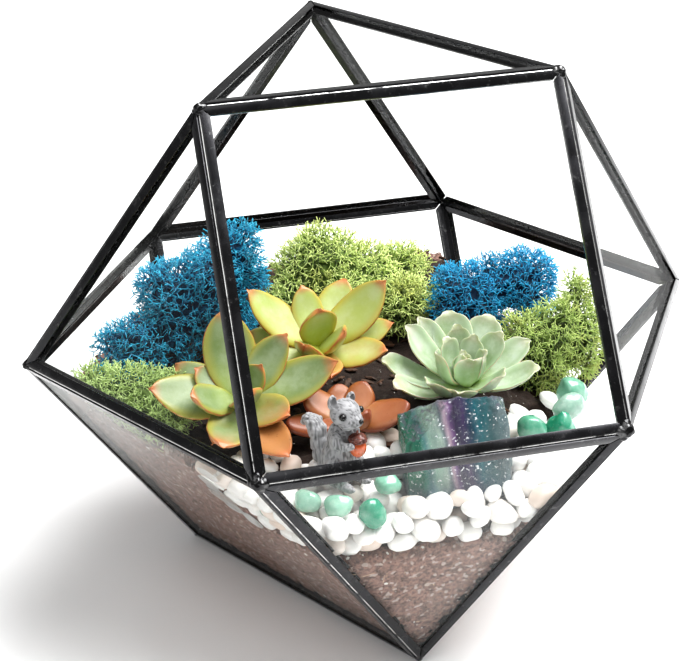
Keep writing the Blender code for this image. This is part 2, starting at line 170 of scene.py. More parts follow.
class CaseSettings(bpy.types.PropertyGroup):
    """Metal strips, solder and panes."""

    strip_colour: colour_property("Strip colour", "Patina on the strips", (0.022, 0.022, 0.024))
    scuff_colour: colour_property("Scuff colour", "Where the patina is rubbed", (0.12, 0.12, 0.12))
    edge_bevel: size_property("Edge bevel", "Rounding of the folded strips' edges", 0.1 * MM)
    seam_radius: size_property("Seam radius", "Solder along each edge of the case", 0.36 * MM)
    seam_colour: colour_property("Seam colour", "Bright solder on the seams", (0.62, 0.62, 0.61))
    glass_tint: colour_property("Glass tint", "Light that passes a pane", (0.982, 0.985, 0.98))
    haze: share_property("Haze", "Film of dust on the lower panes", 0.07)


class FillSettings(bpy.types.PropertyGroup):
    """Soil and gravel."""

    soil_colour: colour_property("Soil colour", "Colour of the potting mix", (0.37, 0.215, 0.175))
    soil_dark: colour_property("Dark soil", "Crumbs and damp hollows", (0.075, 0.045, 0.035))
    crumb: size_property("Crumb height", "How rough the soil's surface is", 1.1 * MM)
    fleck_count: bpy.props.IntProperty(
        name="Perlite grains", description="White grains in the soil", default=1000, min=0
    )
    straw_count: bpy.props.IntProperty(
        name="Straw fibres", description="Pale fibres in the soil", default=420, min=0
    )
    pebble_radius: size_property("Pebble radius", "Mean radius of the white pebbles", 4.1 * MM)
    pebble_colour: colour_property("Pebble colour", "Whitest pebbles", (0.88, 0.87, 0.85))
    pebble_warm: colour_property("Warm pebble", "Pinkish and beige pebbles", (0.74, 0.62, 0.54))


class StoneSettings(bpy.types.PropertyGroup):
    """Tumbled stones and the fluorite block."""

    emerald: colour_property("Emerald", "Dark green stones", (0.02, 0.27, 0.16))
    mint: colour_property("Mint", "Pale green stones", (0.33, 0.62, 0.47))
    band_waviness: size_property("Band waviness", "How far the fluorite's bands wander", 2.2 * MM)


class PlantSettings(bpy.types.PropertyGroup):
    """Succulent leaves."""

    golden: colour_property("Golden leaf", "The left golden sedum's leaves", (0.185, 0.26, 0.085))
    golden_edge: colour_property("Golden edge", "Their sunburnt edges and tips", (0.55, 0.17, 0.06))
    red: colour_property("Red leaf", "Fat leaves of the red sedum", (0.37, 0.125, 0.035))
    pale: colour_property("Pale leaf", "Bloomed leaves of the echeveria", (0.33, 0.45, 0.245))
    pale_heart: colour_property("Pale heart", "Their greener feet", (0.33, 0.47, 0.06))


class MossSettings(bpy.types.PropertyGroup):
    """Reindeer moss."""

    blue: colour_property("Blue moss", "Strands of the dyed moss", (0.002, 0.255, 0.47))
    green: colour_property("Green moss", "Strands of the green moss", (0.4, 0.56, 0.14))
    strand: size_property("Strand radius", "Radius of a strand at its foot", 0.39 * MM)
    patch: size_property("Patch", "Width of the clump's surface that one sprig covers", 2.5 * MM)


class SquirrelSettings(bpy.types.PropertyGroup):
    """The resin squirrel."""

    fur: colour_property("Fur", "Grey paint of the casting", (0.36, 0.36, 0.37))
    fur_depth: size_property("Fur depth", "Depth of the carved strokes", 0.22 * MM)
    nut: colour_property("Nut", "Glossy acorn", (0.56, 0.11, 0.03))
    cap: colour_property("Cap", "Cap of the acorn", (0.12, 0.032, 0.02))


class StudioSettings(bpy.types.PropertyGroup):
    """Floor, lights and camera."""

    floor: colour_property("Floor", "Pale floor", (0.93, 0.93, 0.93))
    key_power: bpy.props.FloatProperty(
        name="Key power", description="Large soft light on the right", default=34.0, min=0.0
    )
    fill_power: bpy.props.FloatProperty(
        name="Fill power", description="Large soft light in front on the left", default=4.8, min=0.0
    )
    sky: bpy.props.FloatProperty(
        name="Sky", description="Brightness of the white surroundings", default=0.35, min=0.0
    )


SETTINGS = {
    "terrarium_case": CaseSettings,
    "terrarium_fill": FillSettings,
    "terrarium_stones": StoneSettings,
    "terrarium_plants": PlantSettings,
    "terrarium_moss": MossSettings,
    "terrarium_squirrel": SquirrelSettings,
    "terrarium_studio": StudioSettings,
}


# Shader maths


def join(socket, value):
    """Links a term to an input socket, or sets the socket to a number, colour or vector."""
    if isinstance(value, Term):
        value.tree.links.new(value.socket, socket)
    elif hasattr(value, "__len__") and len(value) == 3 and len(socket.default_value) == 4:
        socket.default_value = (*value, 1)
    else:
        socket.default_value = value


class Term:
    """A shader socket in an expression: each operator adds its Math node."""

    def __init__(self, tree, socket):
        self.tree = tree
        self.socket = socket

    def maths(self, operation, *values):
        node = self.tree.nodes.new("ShaderNodeMath")
        node.operation = operation
        for socket, value in zip(node.inputs, values):
            join(socket, value)
        return Term(self.tree, node.outputs[0])

    def __add__(self, other):
        return self.maths("ADD", self, other)

    def __radd__(self, other):
        return self.maths("ADD", other, self)

    def __sub__(self, other):
        return self.maths("SUBTRACT", self, other)

    def __rsub__(self, other):
        return self.maths("SUBTRACT", other, self)

    def __mul__(self, other):
        return self.maths("MULTIPLY", self, other)

    def __rmul__(self, other):
        return self.maths("MULTIPLY", other, self)

    def __pow__(self, other):
        return self.maths("POWER", self, other)

    def __abs__(self):
        return self.maths("ABSOLUTE", self)


class Finish:
    """A material in the making, with one method that adds any node."""

    def __init__(self, name, constants):
        self.material = bpy.data.materials.new(name)
        self.material.use_nodes = True
        self.tree = self.material.node_tree
        self.shader = self.tree.nodes["Principled BSDF"]
        self.output = self.tree.nodes["Material Output"]
        self.drive(constants)

    def drive(self, inputs):
        """Sets or links the Principled shader's sockets."""
        for key, value in inputs.items():
            join(self.shader.inputs[key], value)

    def add(self, kind, settings, inputs, output=0):
        """Adds a node: its settings first, then its sockets' values or links."""
        node = self.tree.nodes.new("ShaderNode" + kind)
        for key, value in settings.items():
            if key == "stops":
                set_stops(node.color_ramp, value)
            else:
                setattr(node, key, value)
        for key, value in inputs.items():
            join(node.inputs[key], value)
        return Term(self.tree, node.outputs[output])

    def place(self):
        return self.add("TexCoord", {}, {}, "Object")

    def attribute(self, name, output="Fac"):
        return self.add("Attribute", {"attribute_name": name}, {}, output)

    def parts(self, vector):
        """The three numbers of a vector."""
        node = self.add("SeparateXYZ", {}, {"Vector": vector})
        return [Term(self.tree, socket) for socket in node.socket.node.outputs]

    def noise(self, scale, detail=3.0, rough=0.5, at=None, output="Fac"):
        inputs = {"Vector": at or self.place(), "Scale": scale}
        inputs.update({"Detail": detail, "Roughness": rough})
        return self.add("TexNoise", {}, inputs, output)

    def cells(self, scale, feature="F1", at=None, output="Distance"):
        inputs = {"Vector": at or self.place(), "Scale": scale}
        return self.add("TexVoronoi", {"feature": feature}, inputs, output)

    def mask(self, value, low, high):
        """0 below low and 1 above high, with a smooth step between. Low may be the greater."""
        settings = {"interpolation_type": "SMOOTHSTEP"}
        return self.add("MapRange", settings, {"Value": value, "From Min": low, "From Max": high})

    def mix(self, share, first, second):
        """A colour between two others."""
        settings = {"data_type": "RGBA"}
        return self.add("Mix", settings, {"Factor": share, 6: first, 7: second}, 2)

    def ramp(self, value, *stops):
        return self.add("ValToRGB", {"stops": stops}, {"Fac": value}, "Color")

    def bump(self, height, strength, distance):
        inputs = {"Height": height, "Strength": strength, "Distance": distance}
        return self.add("Bump", {}, inputs, "Normal")


def set_stops(ramp, stops):
    while len(ramp.elements) < len(stops):
        ramp.elements.new(1.0)
    for element, (position, colour) in zip(ramp.elements, stops):
        element.position = position
        element.color = (*colour, 1)


# Pieces


def add_piece(name, bm, finish, replaced=(), smooth=True):
    """Makes an object of the mesh in row coordinates, which rides on the terrarium's body."""
    mesh = bpy.data.meshes.new(name)
    bm.to_mesh(mesh)
    bm.free()
    if smooth:
        mesh.shade_smooth()
    mesh.materials.append(finish)
    piece = bpy.data.objects.new(name, mesh)
    bpy.context.scene.collection.objects.link(piece)
    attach(piece, BODY)
    if replaced:
        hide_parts(*replaced)
    return piece


def merged_copy(node):
    """The frame's mesh of a node as a bmesh, with its loose triangles joined."""
    bm = bmesh.new()
    bm.from_mesh(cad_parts[node].data)
    bmesh.ops.remove_doubles(bm, verts=bm.verts, dist=0.001 * MM)
    return bm


def depth_inside(tree, point):
    """How deep a point lies inside a closed mesh, or below 0 outside it, and the way out."""
    near, normal, _, distance = tree.find_nearest(point)
    inside = (near - point).dot(normal) > 0
    return (distance if inside else -distance), normal


# Apart from each other, so that the three parts of a wander don't move together
WANDER_STEPS = (Vector((0, 0, 0)), Vector((19.1, 33.4, 47.2)), Vector((74.2, -24.5, 13.5)))


def wander(point, size, seed):
    """A smooth random vector that changes over this size."""
    at = point / size + Vector((seed * 7.3, seed * 3.1, seed))
    return Vector([noise.noise(at + step) for step in WANDER_STEPS])


def turned_to(direction, roll):
    """A rotation that points +Z along a direction, after a roll about it."""
    return direction.to_track_quat("Z", "Y").to_matrix().to_4x4() @ Matrix.Rotation(roll, 4, "Z")


def name_of_strip(node):
    return node.replace("came_", "strip_")


# Finishes


def metal_finish():
    look = bpy.context.scene.terrarium_case
    made = Finish("blackened_came", {"Metallic": 1.0, "Coat Weight": 0.4, "Coat Roughness": 0.12})
    scuffs = made.mask(made.noise(420, 6, 0.7), 0.56, 0.7)
    clouds = made.mask(made.noise(130, 3), 0.35, 0.75)
    dark = made.mix(clouds, look.strip_colour, [1.5 * c for c in look.strip_colour])
    made.drive(
        {
            "Base Color": made.mix(scuffs * 0.6, dark, look.scuff_colour),
            "Roughness": 0.22 + clouds * 0.12 + scuffs * 0.12,
            "Normal": made.bump(made.noise(170, 3, 0.5) + 0.15 * made.noise(1400), 0.2, 0.2 * MM),
        }
    )
    return made.material


def seam_finish():
    look = bpy.context.scene.terrarium_case
    made = Finish("solder_seam", {"Metallic": 1.0})
    stained = made.mask(made.noise(160, 5, 0.65), 0.5, 0.68)
    made.drive(
        {
            "Base Color": made.mix(stained, look.seam_colour, look.strip_colour),
            "Roughness": 0.22 + stained * 0.2,
            "Normal": made.bump(made.noise(700, 4), 0.4, 0.15 * MM),
        }
    )
    return made.material


def glass_finish():
    """Clear glass that mirrors by angle, with a thin film of dust where the fill has touched it."""
    look = bpy.context.scene.terrarium_case
    made = Finish("clear_glass", {"Roughness": 0.7, "Base Color": (0.86, 0.87, 0.86)})
    film = made.mask(made.noise(9, 2), 0.3, 0.8) * look.haze
    x, _, z = made.parts(made.place())
    low = made.mask(z, 100 * MM, 60 * MM)
    left = made.mask(x, -52 * MM, -104 * MM) * made.mask(z, 96 * MM, 84 * MM)
    specks = made.mask(made.noise(900, 2, 0.6), 0.74, 0.8) * 0.5
    clear = made.add("BsdfTransparent", {}, {"Color": look.glass_tint})
    mirror = made.add("BsdfGlossy", {}, {"Roughness": 0.02, "Color": (1, 1, 1)})
    facing = made.add("LayerWeight", {}, {"Blend": 0.5}, "Facing")
    pane = made.add("MixShader", {}, {0: 0.012 + 0.12 * facing**4, 1: clear, 2: mirror})
    dust = Term(made.tree, made.shader.outputs[0])
    share = (film + specks * film) * (0.1 + low) + left * 0.3
    dusty = made.add("MixShader", {}, {0: share, 1: pane, 2: dust})
    made.tree.links.new(dusty.socket, made.output.inputs["Surface"])
    return made.material


def soil_finish():
    look = bpy.context.scene.terrarium_fill
    made = Finish("potting_soil", {"Roughness": 0.95})
    grain = made.noise(700, 8, 0.75)
    clods = made.noise(170, 4, 0.6)
    crumbs = made.cells(900, output="Color")
    colour = made.mix(made.mask(grain, 0.35, 0.62), look.soil_dark, look.soil_colour)
    colour = made.mix(made.mask(clods, 0.5, 0.75) * 0.5, colour, (0.3, 0.2, 0.16))
    pale = made.mask(made.parts(crumbs)[0], 0.88, 0.95)
    colour = made.mix(pale * 0.7, colour, (0.6, 0.5, 0.44))
    # Painted shade: away from the panes the soil's top is darkened almost to black, for the shade
    # in the gaps between the plants.
    loose = 1 - made.attribute("pressed")
    colour = made.mix(loose * 0.93, colour, (0.016, 0.01, 0.007))
    made.drive(
        {
            "Base Color": colour,
            "Normal": made.bump(grain + 0.5 * clods, 0.9, 0.8 * MM),
        }
    )
    return made.material


def plain_finish(name, colour, rough, spread=0.15, scale=400, coat=0.0):
    """A finish with a soft mottle and a fine grain."""
    made = Finish(name, {"Coat Weight": coat, "Coat Roughness": 0.1})
    mottle = made.noise(scale, 5, 0.6)
    darker = [c * (1 - 2 * spread) for c in colour]
    lighter = [min(1, c * (1 + 2 * spread)) for c in colour]
    made.drive(
        {
            "Base Color": made.mix(made.mask(mottle, 0.3, 0.7), darker, lighter),
            "Roughness": rough - 0.1 + mottle * 0.2,
            "Normal": made.bump(made.noise(scale * 4, 3), 0.3, 0.1 * MM),
        }
    )
    return made.material


def pebble_finish():
    look = bpy.context.scene.terrarium_fill
    made = Finish(
        "white_gravel",
        {
            "Subsurface Weight": 0.15,
            "Subsurface Radius": (1, 0.9, 0.8),
            "Subsurface Scale": 1.5 * MM,
        },
    )
    tone = made.attribute("tone")
    cloud = made.noise(140, 5, 0.6)
    colour = made.mix(made.mask(tone, 0.72, 1.0), look.pebble_colour, look.pebble_warm)
    shade = [c * 0.82 for c in look.pebble_colour]
    colour = made.mix(made.mask(cloud, 0.5, 0.8) * 0.45, colour, shade)
    made.drive(
        {
            "Base Color": colour,
            "Roughness": 0.3 + made.noise(300, 3) * 0.25,
            "Normal": made.bump(made.noise(1300, 4), 0.25, 0.12 * MM),
        }
    )
    return made.material


def tumbled_finish(name, colour, cloud_colour, warmth=0.0):
    """Polished translucent stone, with clouds and fine bright veins."""
    made = Finish(
        name,
        {
            "Coat Weight": 0.6,
            "Coat Roughness": 0.05,
            "Subsurface Weight": 0.35,
            "Subsurface Radius": (0.6, 1.0, 0.8),
            "Subsurface Scale": 2 * MM,
        },
    )
    clouds = made.mask(made.noise(210, 5, 0.6), 0.4, 0.72)
    wisps = made.mask(made.noise(600, 6, 0.75), 0.58, 0.72)
    clouded = made.mix(clouds, colour, cloud_colour)
    made.drive(
        {
            "Base Color": made.mix(wisps * 0.25, clouded, (0.8, 0.9, 0.84)),
            "Roughness": 0.12 + clouds * 0.1 + warmth,
            "Normal": made.bump(made.noise(420, 3), 0.25, 0.3 * MM),
        }
    )
    return made.material


FLUORITE_BANDS = (
    (0.0, (0.05, 0.26, 0.16)),
    (0.1, (0.03, 0.2, 0.13)),
    (0.15, (0.1, 0.24, 0.24)),
    (0.21, (0.3, 0.46, 0.38)),
    (0.34, (0.4, 0.52, 0.45)),
    (0.4, (0.16, 0.2, 0.22)),
    (0.45, (0.56, 0.42, 0.5)),
    (0.5, (0.2, 0.11, 0.26)),
    (0.55, (0.03, 0.018, 0.055)),
    (0.66, (0.055, 0.035, 0.11)),
    (0.73, (0.012, 0.05, 0.1)),
    (0.81, (0.012, 0.14, 0.17)),
    (0.92, (0.03, 0.12, 0.13)),
    (1.0, (0.12, 0.18, 0.19)),
)


def fluorite_finish(low, high):
    """Glossy banded stone, with painted highlights for glints. Its bands stand upright and wander;
    its top is rough and grey.
    """
    look = bpy.context.scene.terrarium_stones
    made = Finish(
        "banded_fluorite",
        {
            "Coat Roughness": 0.06,
            "Specular IOR Level": 0.35,
            "Subsurface Weight": 0.1,
            "Subsurface Radius": (0.7, 0.8, 1.0),
            "Subsurface Scale": 1 * MM,
        },
    )
    place = made.place()
    x, _, z = made.parts(place)
    upright = made.add("Mapping", {}, {"Vector": place, "Scale": (1, 1, 0.22)})
    streaks = made.noise(420, 5, 0.65, upright)
    drift = (made.noise(60, 3) - 0.5) * (2 * look.band_waviness)
    drift = drift + (streaks - 0.5) * (1.2 * MM)
    across = made.mask(x + 0.12 * z + drift - 0.12 * low.z, low.x, high.x)
    veils = made.mask(made.noise(330, 7, 0.8), 0.52, 0.72)
    # Painted highlights: sparse near-white specks in the colour stand in for glints of light.
    painted_sparkle = made.mask(made.noise(1100, 2, 0.5), 0.62, 0.68)
    painted_glints = painted_sparkle * made.mask(made.noise(150, 3), 0.38, 0.52)
    height = high.z - low.z
    foot = made.mask(z, low.z + 0.42 * height, low.z + 0.15 * height)
    normal = made.add("NewGeometry", {}, {}, "Normal")
    top = made.mask(made.parts(normal)[2] + (veils - 0.5) * 0.3, 0.45, 0.7)
    colour = made.ramp(across, *FLUORITE_BANDS)
    colour = made.mix(made.mask(streaks, 0.35, 0.7) * 0.35, colour, (0.02, 0.04, 0.06))
    colour = made.mix(veils * 0.3, colour, (0.55, 0.62, 0.62))
    colour = made.mix(foot * 0.6, colour, (0.14, 0.16, 0.24))
    colour = made.mix(top * 0.8, colour, (0.1, 0.1, 0.13))
    colour = made.mix(painted_glints, colour, (0.9, 0.93, 0.95))
    made.drive(
        {
            "Base Color": colour,
            "Roughness": 0.12 + veils * 0.2 + top * 0.3,
            "Coat Weight": 0.45 - top * 0.4,
            "Normal": made.bump(streaks + made.noise(420, 8, 0.8), 1.0, 0.9 * MM),
        }
    )
    return made.material


def leaf_finish(name, face, heart, margin, edge, edge_width, bloom, speckle, blush=1.0):
    """A waxy leaf. Its attribute holds how far across, along and up a point is."""
    made = Finish(
        name,
        {
            "Subsurface Weight": 0.2,
            "Subsurface Radius": (0.9, 1.0, 0.35),
            "Subsurface Scale": 2 * MM,
            "Coat Weight": 0.3,
            "Coat Roughness": 0.22,
        },
    )
    across, along, side = made.parts(made.attribute("leaf", "Vector"))
    age = made.attribute("age")
    fine = made.noise(260, 5, 0.6)
    broad = made.noise(95, 3, 0.55)
    out = abs(across) + (fine - 0.5) * 0.14
    rim = made.mask(out, 1 - edge_width, 1.0)
    border = made.mask(out, 0.45, 1.0) * 0.75
    tip = made.mask(along + (fine - 0.5) * 0.12, 0.8, 1.0)
    keel = made.mask(abs(across), 0.2, 0.0) * made.mask(side, 0.0, -0.6)
    tired = made.mask(age + (broad - 0.5) * 0.9 + along * 0.35, 0.4, 1.25)
    colour = made.mix(made.mask(along, 0.6, 0.05), face, heart)
    colour = made.mix(border, colour, margin)
    wax = made.mask(made.noise(120, 5, 0.65), 0.3, 0.7) * made.mask(abs(across), 1.0, 0.1)
    colour = made.mix(wax * bloom, colour, blend(face, (0.86, 0.92, 0.84), 0.7))
    colour = made.mix(tired, colour, blend(edge, face, 0.3))
    ends = rim.maths("MAXIMUM", rim, (tip * tip) * blush) + keel * 0.3 * blush
    colour = made.mix(ends * 0.9, colour, edge)
    spots = made.mask(made.noise(900, 3, 0.6), 0.64, 0.72) * made.mask(age, 0.3, 0.9) * speckle
    colour = made.mix(spots, colour, [c * 0.35 for c in edge])
    made.drive(
        {
            "Base Color": colour,
            "Roughness": 0.36 + wax * 0.25,
            "Normal": made.bump(made.noise(500, 4) + 0.5 * fine, 0.3, 0.25 * MM),
        }
    )
    return made.material


def moss_finish(name, colour, highlight_tip_colour, shade_colour, other_colour):
    """Strands with a painted highlight towards their tips and painted shade towards their feet,
    with patches of a second colour.
    """
    made = Finish(name, {"Roughness": 0.75, "Sheen Weight": 0.2})
    reach = made.attribute("reach")
    patches = made.mask(made.noise(75, 3), 0.52, 0.72)
    # Painted highlight: the strands pale towards their tips, where the light falls.
    strand = made.mix(made.mask(reach, 0.3, 1.0), colour, highlight_tip_colour)
    strand = made.mix(patches * 0.7, strand, other_colour)
    # Painted shade: the strands darken towards their feet, deep in the clump.
    strand = made.mix(made.mask(reach, 0.5, 0.0), strand, shade_colour)
    made.drive(
        {
            "Base Color": strand,
            "Normal": made.bump(made.noise(1600, 3), 0.4, 0.15 * MM),
        }
    )
    return made.material


def fur_finish():
    look = bpy.context.scene.terrarium_squirrel
    made = Finish("grey_resin", {})
    hollow = made.attribute("stroke")
    mottle = made.noise(350, 5, 0.6)
    # Painted shade: the fur is darkened in its carved grooves, in its ear hollows and in a ring
    # round each eye.
    colour = made.mix(made.mask(hollow, -0.55, 0.25), [c * 0.38 for c in look.fur], look.fur)
    colour = made.mix(made.mask(mottle, 0.5, 0.8) * 0.4, colour, [c * 1.35 for c in look.fur])
    made.drive(
        {
            "Base Color": colour,
            "Roughness": 0.45 + mottle * 0.2,
            "Normal": made.bump(made.noise(1500, 4), 0.4, 0.12 * MM),
        }
    )
    return made.material


# The case: strips, solder and panes


def build_strips():
    """One folded strip per edge, in the frame's own section, with softened folds."""
    look = bpy.context.scene.terrarium_case
    finish = metal_finish()
    for node in sorted(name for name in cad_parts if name.startswith("came_")):
        bm = merged_copy(node)
        bmesh.ops.dissolve_limit(bm, angle_limit=math.radians(1), verts=bm.verts, edges=bm.edges)
        sharp = [e for e in bm.edges if e.calc_face_angle(0) > math.radians(25)]
        bmesh.ops.bevel(
            bm,
            geom=sharp,
            offset=look.edge_bevel,
            segments=2,
            profile=0.5,
            affect="EDGES",
            material=-1,
            clamp_overlap=True,
        )
        add_piece(name_of_strip(node), bm, finish, [node])


def case_edges():
    """The ends of the 24 edges of the case."""
    names = list(CORNERS)
    pairs = [(a, b) for i, a in enumerate(names) for b in names[i + 1:]]
    return [(a, b) for a, b in pairs if (CORNERS[a] - CORNERS[b]).length < 1.01 * EDGE]


def build_seams():
    """A thin line of solder along every edge, which swells and dips a little."""
    look = bpy.context.scene.terrarium_case
    bm = bmesh.new()
    for number, (first, second) in enumerate(case_edges()):
        start, end = CORNERS[first], CORNERS[second]
        inward = (CENTRE - (start + end) / 2).normalized()
        along = (end - start).normalized()
        middle = (start + end) / 2 + inward * SEAM_SINK * MM
        made = bmesh.ops.create_cone(
            bm,
            cap_ends=True,
            segments=10,
            radius1=look.seam_radius,
            radius2=look.seam_radius,
            depth=(end - start).length,
            matrix=Matrix.Translation(middle) @ turned_to(along, 0),
        )
        lengthwise = {
            edge
            for vert in made["verts"]
            for edge in vert.link_edges
            if abs((edge.verts[0].co - edge.verts[1].co).dot(along)) > MM
        }
        bmesh.ops.subdivide_edges(bm, edges=list(lengthwise), cuts=60)
        for vert in bm.verts:
            if vert.tag:
                continue
            vert.tag = True
            spine = middle + along * (vert.co - middle).dot(along)
            swell = 1 + 0.22 * noise.noise(spine / (3 * MM) + Vector((number, 0, 0)))
            vert.co = spine + (vert.co - spine) * swell + wander(spine, 9 * MM, number) * 0.05 * MM
    hold_above_floor(bm)
    add_piece("solder_seams", bm, seam_finish())


def hold_above_floor(bm):
    for vert in bm.verts:
        vert.co.z = max(vert.co.z, FLOOR_GAP)


SOLDER_BEADS = {
    # corner: radius of its bead in mm
    "peak_left": 1.9,
    "peak_right": 2.1,
    "front_left": 2.5,
    "front_right": 2.7,
    "left": 1.7,
    "right": 1.3,
    "peak_back": 1.3,
    "back_right": 1.5,
    "back_left": 1.5,
    "foot_front": 1.3,
    "foot_left": 1.3,
    "foot_right": 1.3,
}


def build_beads():
    """A lump of solder over every corner, with short runs into the edges that meet there."""
    bm = bmesh.new()
    for number, (name, radius) in enumerate(SOLDER_BEADS.items()):
        corner = CORNERS[name]
        inward = (CENTRE - corner).normalized()
        middle = corner + inward * (0.35 * radius + 0.3) * MM
        made = bmesh.ops.create_icosphere(
            bm, subdivisions=4, radius=radius * MM, matrix=Matrix.Translation(middle)
        )
        ends = [CORNERS[b if a == name else a] for a, b in case_edges() if name in (a, b)]
        for vert in made["verts"]:
            out = (vert.co - middle).normalized()
            run = max(out.dot((end - corner).normalized()) for end in ends)
            lump = noise.noise(out * 2 + inward * number)
            reach = 0.86 + 0.55 * max(0, run - 0.6) / 0.4 + 0.12 * lump
            vert.co = middle + (vert.co - middle) * reach
    hold_above_floor(bm)
    add_piece("solder_beads", bm, bead_finish())


def bead_finish():
    made = Finish("solder_bead", {"Metallic": 1.0})
    stain = made.mask(made.noise(240, 4, 0.6), 0.45, 0.7)
    made.drive(
        {
            "Base Color": made.mix(stain, (0.035, 0.035, 0.036), (0.15, 0.15, 0.15)),
            "Roughness": 0.2 + stain * 0.15,
            "Normal": made.bump(made.noise(500, 4), 0.35, 0.3 * MM),
        }
    )
    return made.material


def build_panes():
    """The frame's panes keep their own meshes and take the dusty glass."""
    finish = glass_finish()
    for name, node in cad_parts.items():
        if name.startswith("pane_"):
            node.data.materials.clear()
            node.data.materials.append(finish)


# Soil and gravel


def remesh(bm, size):
    """The bmesh as one even skin of quads of this size."""
    mesh = bpy.data.meshes.new("remesh")
    bm.to_mesh(mesh)
    bm.free()
    source = bpy.data.objects.new("remesh", mesh)
    bpy.context.scene.collection.objects.link(source)
    skin = source.modifiers.new("skin", "REMESH")
    skin.mode = "VOXEL"
    skin.voxel_size = size
    bpy.context.view_layer.update()
    evaluated = source.evaluated_get(bpy.context.evaluated_depsgraph_get())
    result = bmesh.new()
    result.from_mesh(evaluated.to_mesh())
    evaluated.to_mesh_clear()
    bpy.data.objects.remove(source)
    bpy.data.meshes.remove(mesh)
    return result


def smooth(bm, times):
    """Evens out a skin, and renews its normals."""
    for _ in range(times):
        bmesh.ops.smooth_vert(
            bm, verts=bm.verts, factor=0.5, use_axis_x=True, use_axis_y=True, use_axis_z=True
        )
    bm.normal_update()


def build_soil():
    """Crumbly potting mix, pressed flat against the panes and loose on top."""
    look = bpy.context.scene.terrarium_fill
    bm = remesh(merged_copy("potting_soil"), 1.2 * MM)
    pressed = bm.verts.layers.float.new("pressed")
    bm.normal_update()
    for vert in bm.verts:
        room = room_left([vert.co])[0]
        vert[pressed] = 1.0 if room < 7 * MM else 0.0
        out = vert.normal.copy()
        if out.z > 0.2 or room > BY_GLASS:
            lumps = noise.noise(vert.co / (4.2 * MM)) + 0.6 * noise.noise(vert.co / (1.7 * MM))
            vert.co += out * look.crumb * (0.4 + lumps) + wander(vert.co, 5 * MM, 3) * 0.5 * MM
        else:
            uneven = 0.6 * max(0, noise.noise(vert.co / (3 * MM)))
            vert.co += out * (room - GLASS_INSIDE - uneven * MM)
    press_inside(bm)
    add_piece("soil", bm, soil_finish(), ["potting_soil"])


def press_inside(bm):
    """Pushes every vertex back inside the panes."""
    for vert in bm.verts:
        for normal, reach in PLANES:
            over = (vert.co - CENTRE).dot(normal) - (reach - GLASS_INSIDE)
            if over > 0:
                vert.co -= normal * over


def points_on(bm, count, seed, wanted):
    """Seeded random points on a mesh's faces, by area, where wanted(point, normal) holds."""
    dice = Random(seed)
    faces = [f for f in bm.faces if wanted(f.calc_center_median(), f.normal)]
    areas = [f.calc_area() for f in faces]
    if not faces:
        return []
    picks = dice.choices(faces, weights=areas, k=count)
    found = []
    for face in picks:
        corners = [v.co for v in face.verts]
        shares = [dice.random() ** 0.5 + 0.02 for _ in corners]
        point = sum((c * s for c, s in zip(corners, shares)), Vector()) / sum(shares)
        found.append((point, face.normal.copy()))
    return found


def by_glass(point, _):
    return room_left([point])[0] < BY_GLASS


def soil_surface():
    """The finished soil as a bmesh, to strew things on."""
    bm = bmesh.new()
    bm.from_mesh(bpy.data.objects["soil"].data)
    bm.normal_update()
    return bm


def build_flecks():
    """White perlite grains and pale fibres, mostly where the soil lies against the glass."""
    look = bpy.context.scene.terrarium_fill
    dice = Random(11)
    soil = soil_surface()
    grains = bmesh.new()
    top = points_on(soil, look.fleck_count // 3, 1, lambda p, n: n.z > 0.5)
    sides = points_on(soil, look.fleck_count, 2, by_glass)
    for point, normal in top + sides:
        size = (0.16 + 0.7 * dice.random() ** 5) * MM
        shape = Matrix.Diagonal((1, 0.6 + 0.4 * dice.random(), 0.55, 1))
        sunk = Matrix.Translation(point - normal * size * 0.2)
        place = sunk @ turned_to(normal, dice.uniform(0, 6.3))
        bmesh.ops.create_icosphere(grains, subdivisions=1, radius=size, matrix=place @ shape)
    for vert in grains.verts:
        vert.co += wander(vert.co, 0.5 * MM, 4) * 0.12 * MM
    press_inside(grains)
    white = plain_finish("perlite", (0.8, 0.77, 0.72), 0.7, 0.08)
    add_piece("perlite_grains", grains, white, smooth=False)

    fibres = bmesh.new()
    for point, normal in points_on(soil, look.straw_count, 5, by_glass):
        length = dice.uniform(1.5, 6) * MM
        width = dice.uniform(0.07, 0.18) * MM
        place = Matrix.Translation(point) @ turned_to(normal, dice.uniform(0, 6.3))
        lying = place @ Matrix.Rotation(math.pi / 2, 4, "X")
        made = bmesh.ops.create_cone(
            fibres,
            cap_ends=True,
            segments=5,
            radius1=width,
            radius2=width * 0.5,
            depth=length,
            matrix=lying,
        )
        touching = {e for v in made["verts"] for e in v.link_edges}
        long_edges = {e for e in touching if e.calc_length() > length * 0.6}
        bmesh.ops.subdivide_edges(fibres, edges=list(long_edges), cuts=4)
    for vert in fibres.verts:
        vert.co += wander(vert.co, 4 * MM, 6) * 0.7 * MM
    press_inside(fibres)
    straw = plain_finish("straw", (0.66, 0.47, 0.32), 0.75, 0.2)
    add_piece("straw_fibres", fibres, straw)
    soil.free()


def build_bark():
    """Dark flakes of bark that lie loose on the soil between the plants."""
    dice = Random(23)
    soil = soil_surface()
    flakes = bmesh.new()
    for point, normal in points_on(soil, BARK_COUNT, 9, lambda p, n: n.z > 0.6 and p.y > -48 * MM):
        size = dice.uniform(1.1, 3.0) * MM
        lie = (normal + wander(point, 3 * MM, 8) * 0.8).normalized()
        shape = Matrix.Diagonal((1, dice.uniform(0.35, 0.6), 0.22, 1))
        place = Matrix.Translation(point + normal * 0.4 * MM) @ turned_to(lie, dice.uniform(0, 6.3))
        bmesh.ops.create_icosphere(flakes, subdivisions=2, radius=size, matrix=place @ shape)
    for vert in flakes.verts:
        vert.co += wander(vert.co, 0.9 * MM, 10) * 0.35 * MM
    press_inside(flakes)
    soil.free()
    bark = plain_finish("bark", (0.075, 0.036, 0.02), 0.7, 0.35, 300)
    add_piece("bark_flakes", flakes, bark, smooth=False)


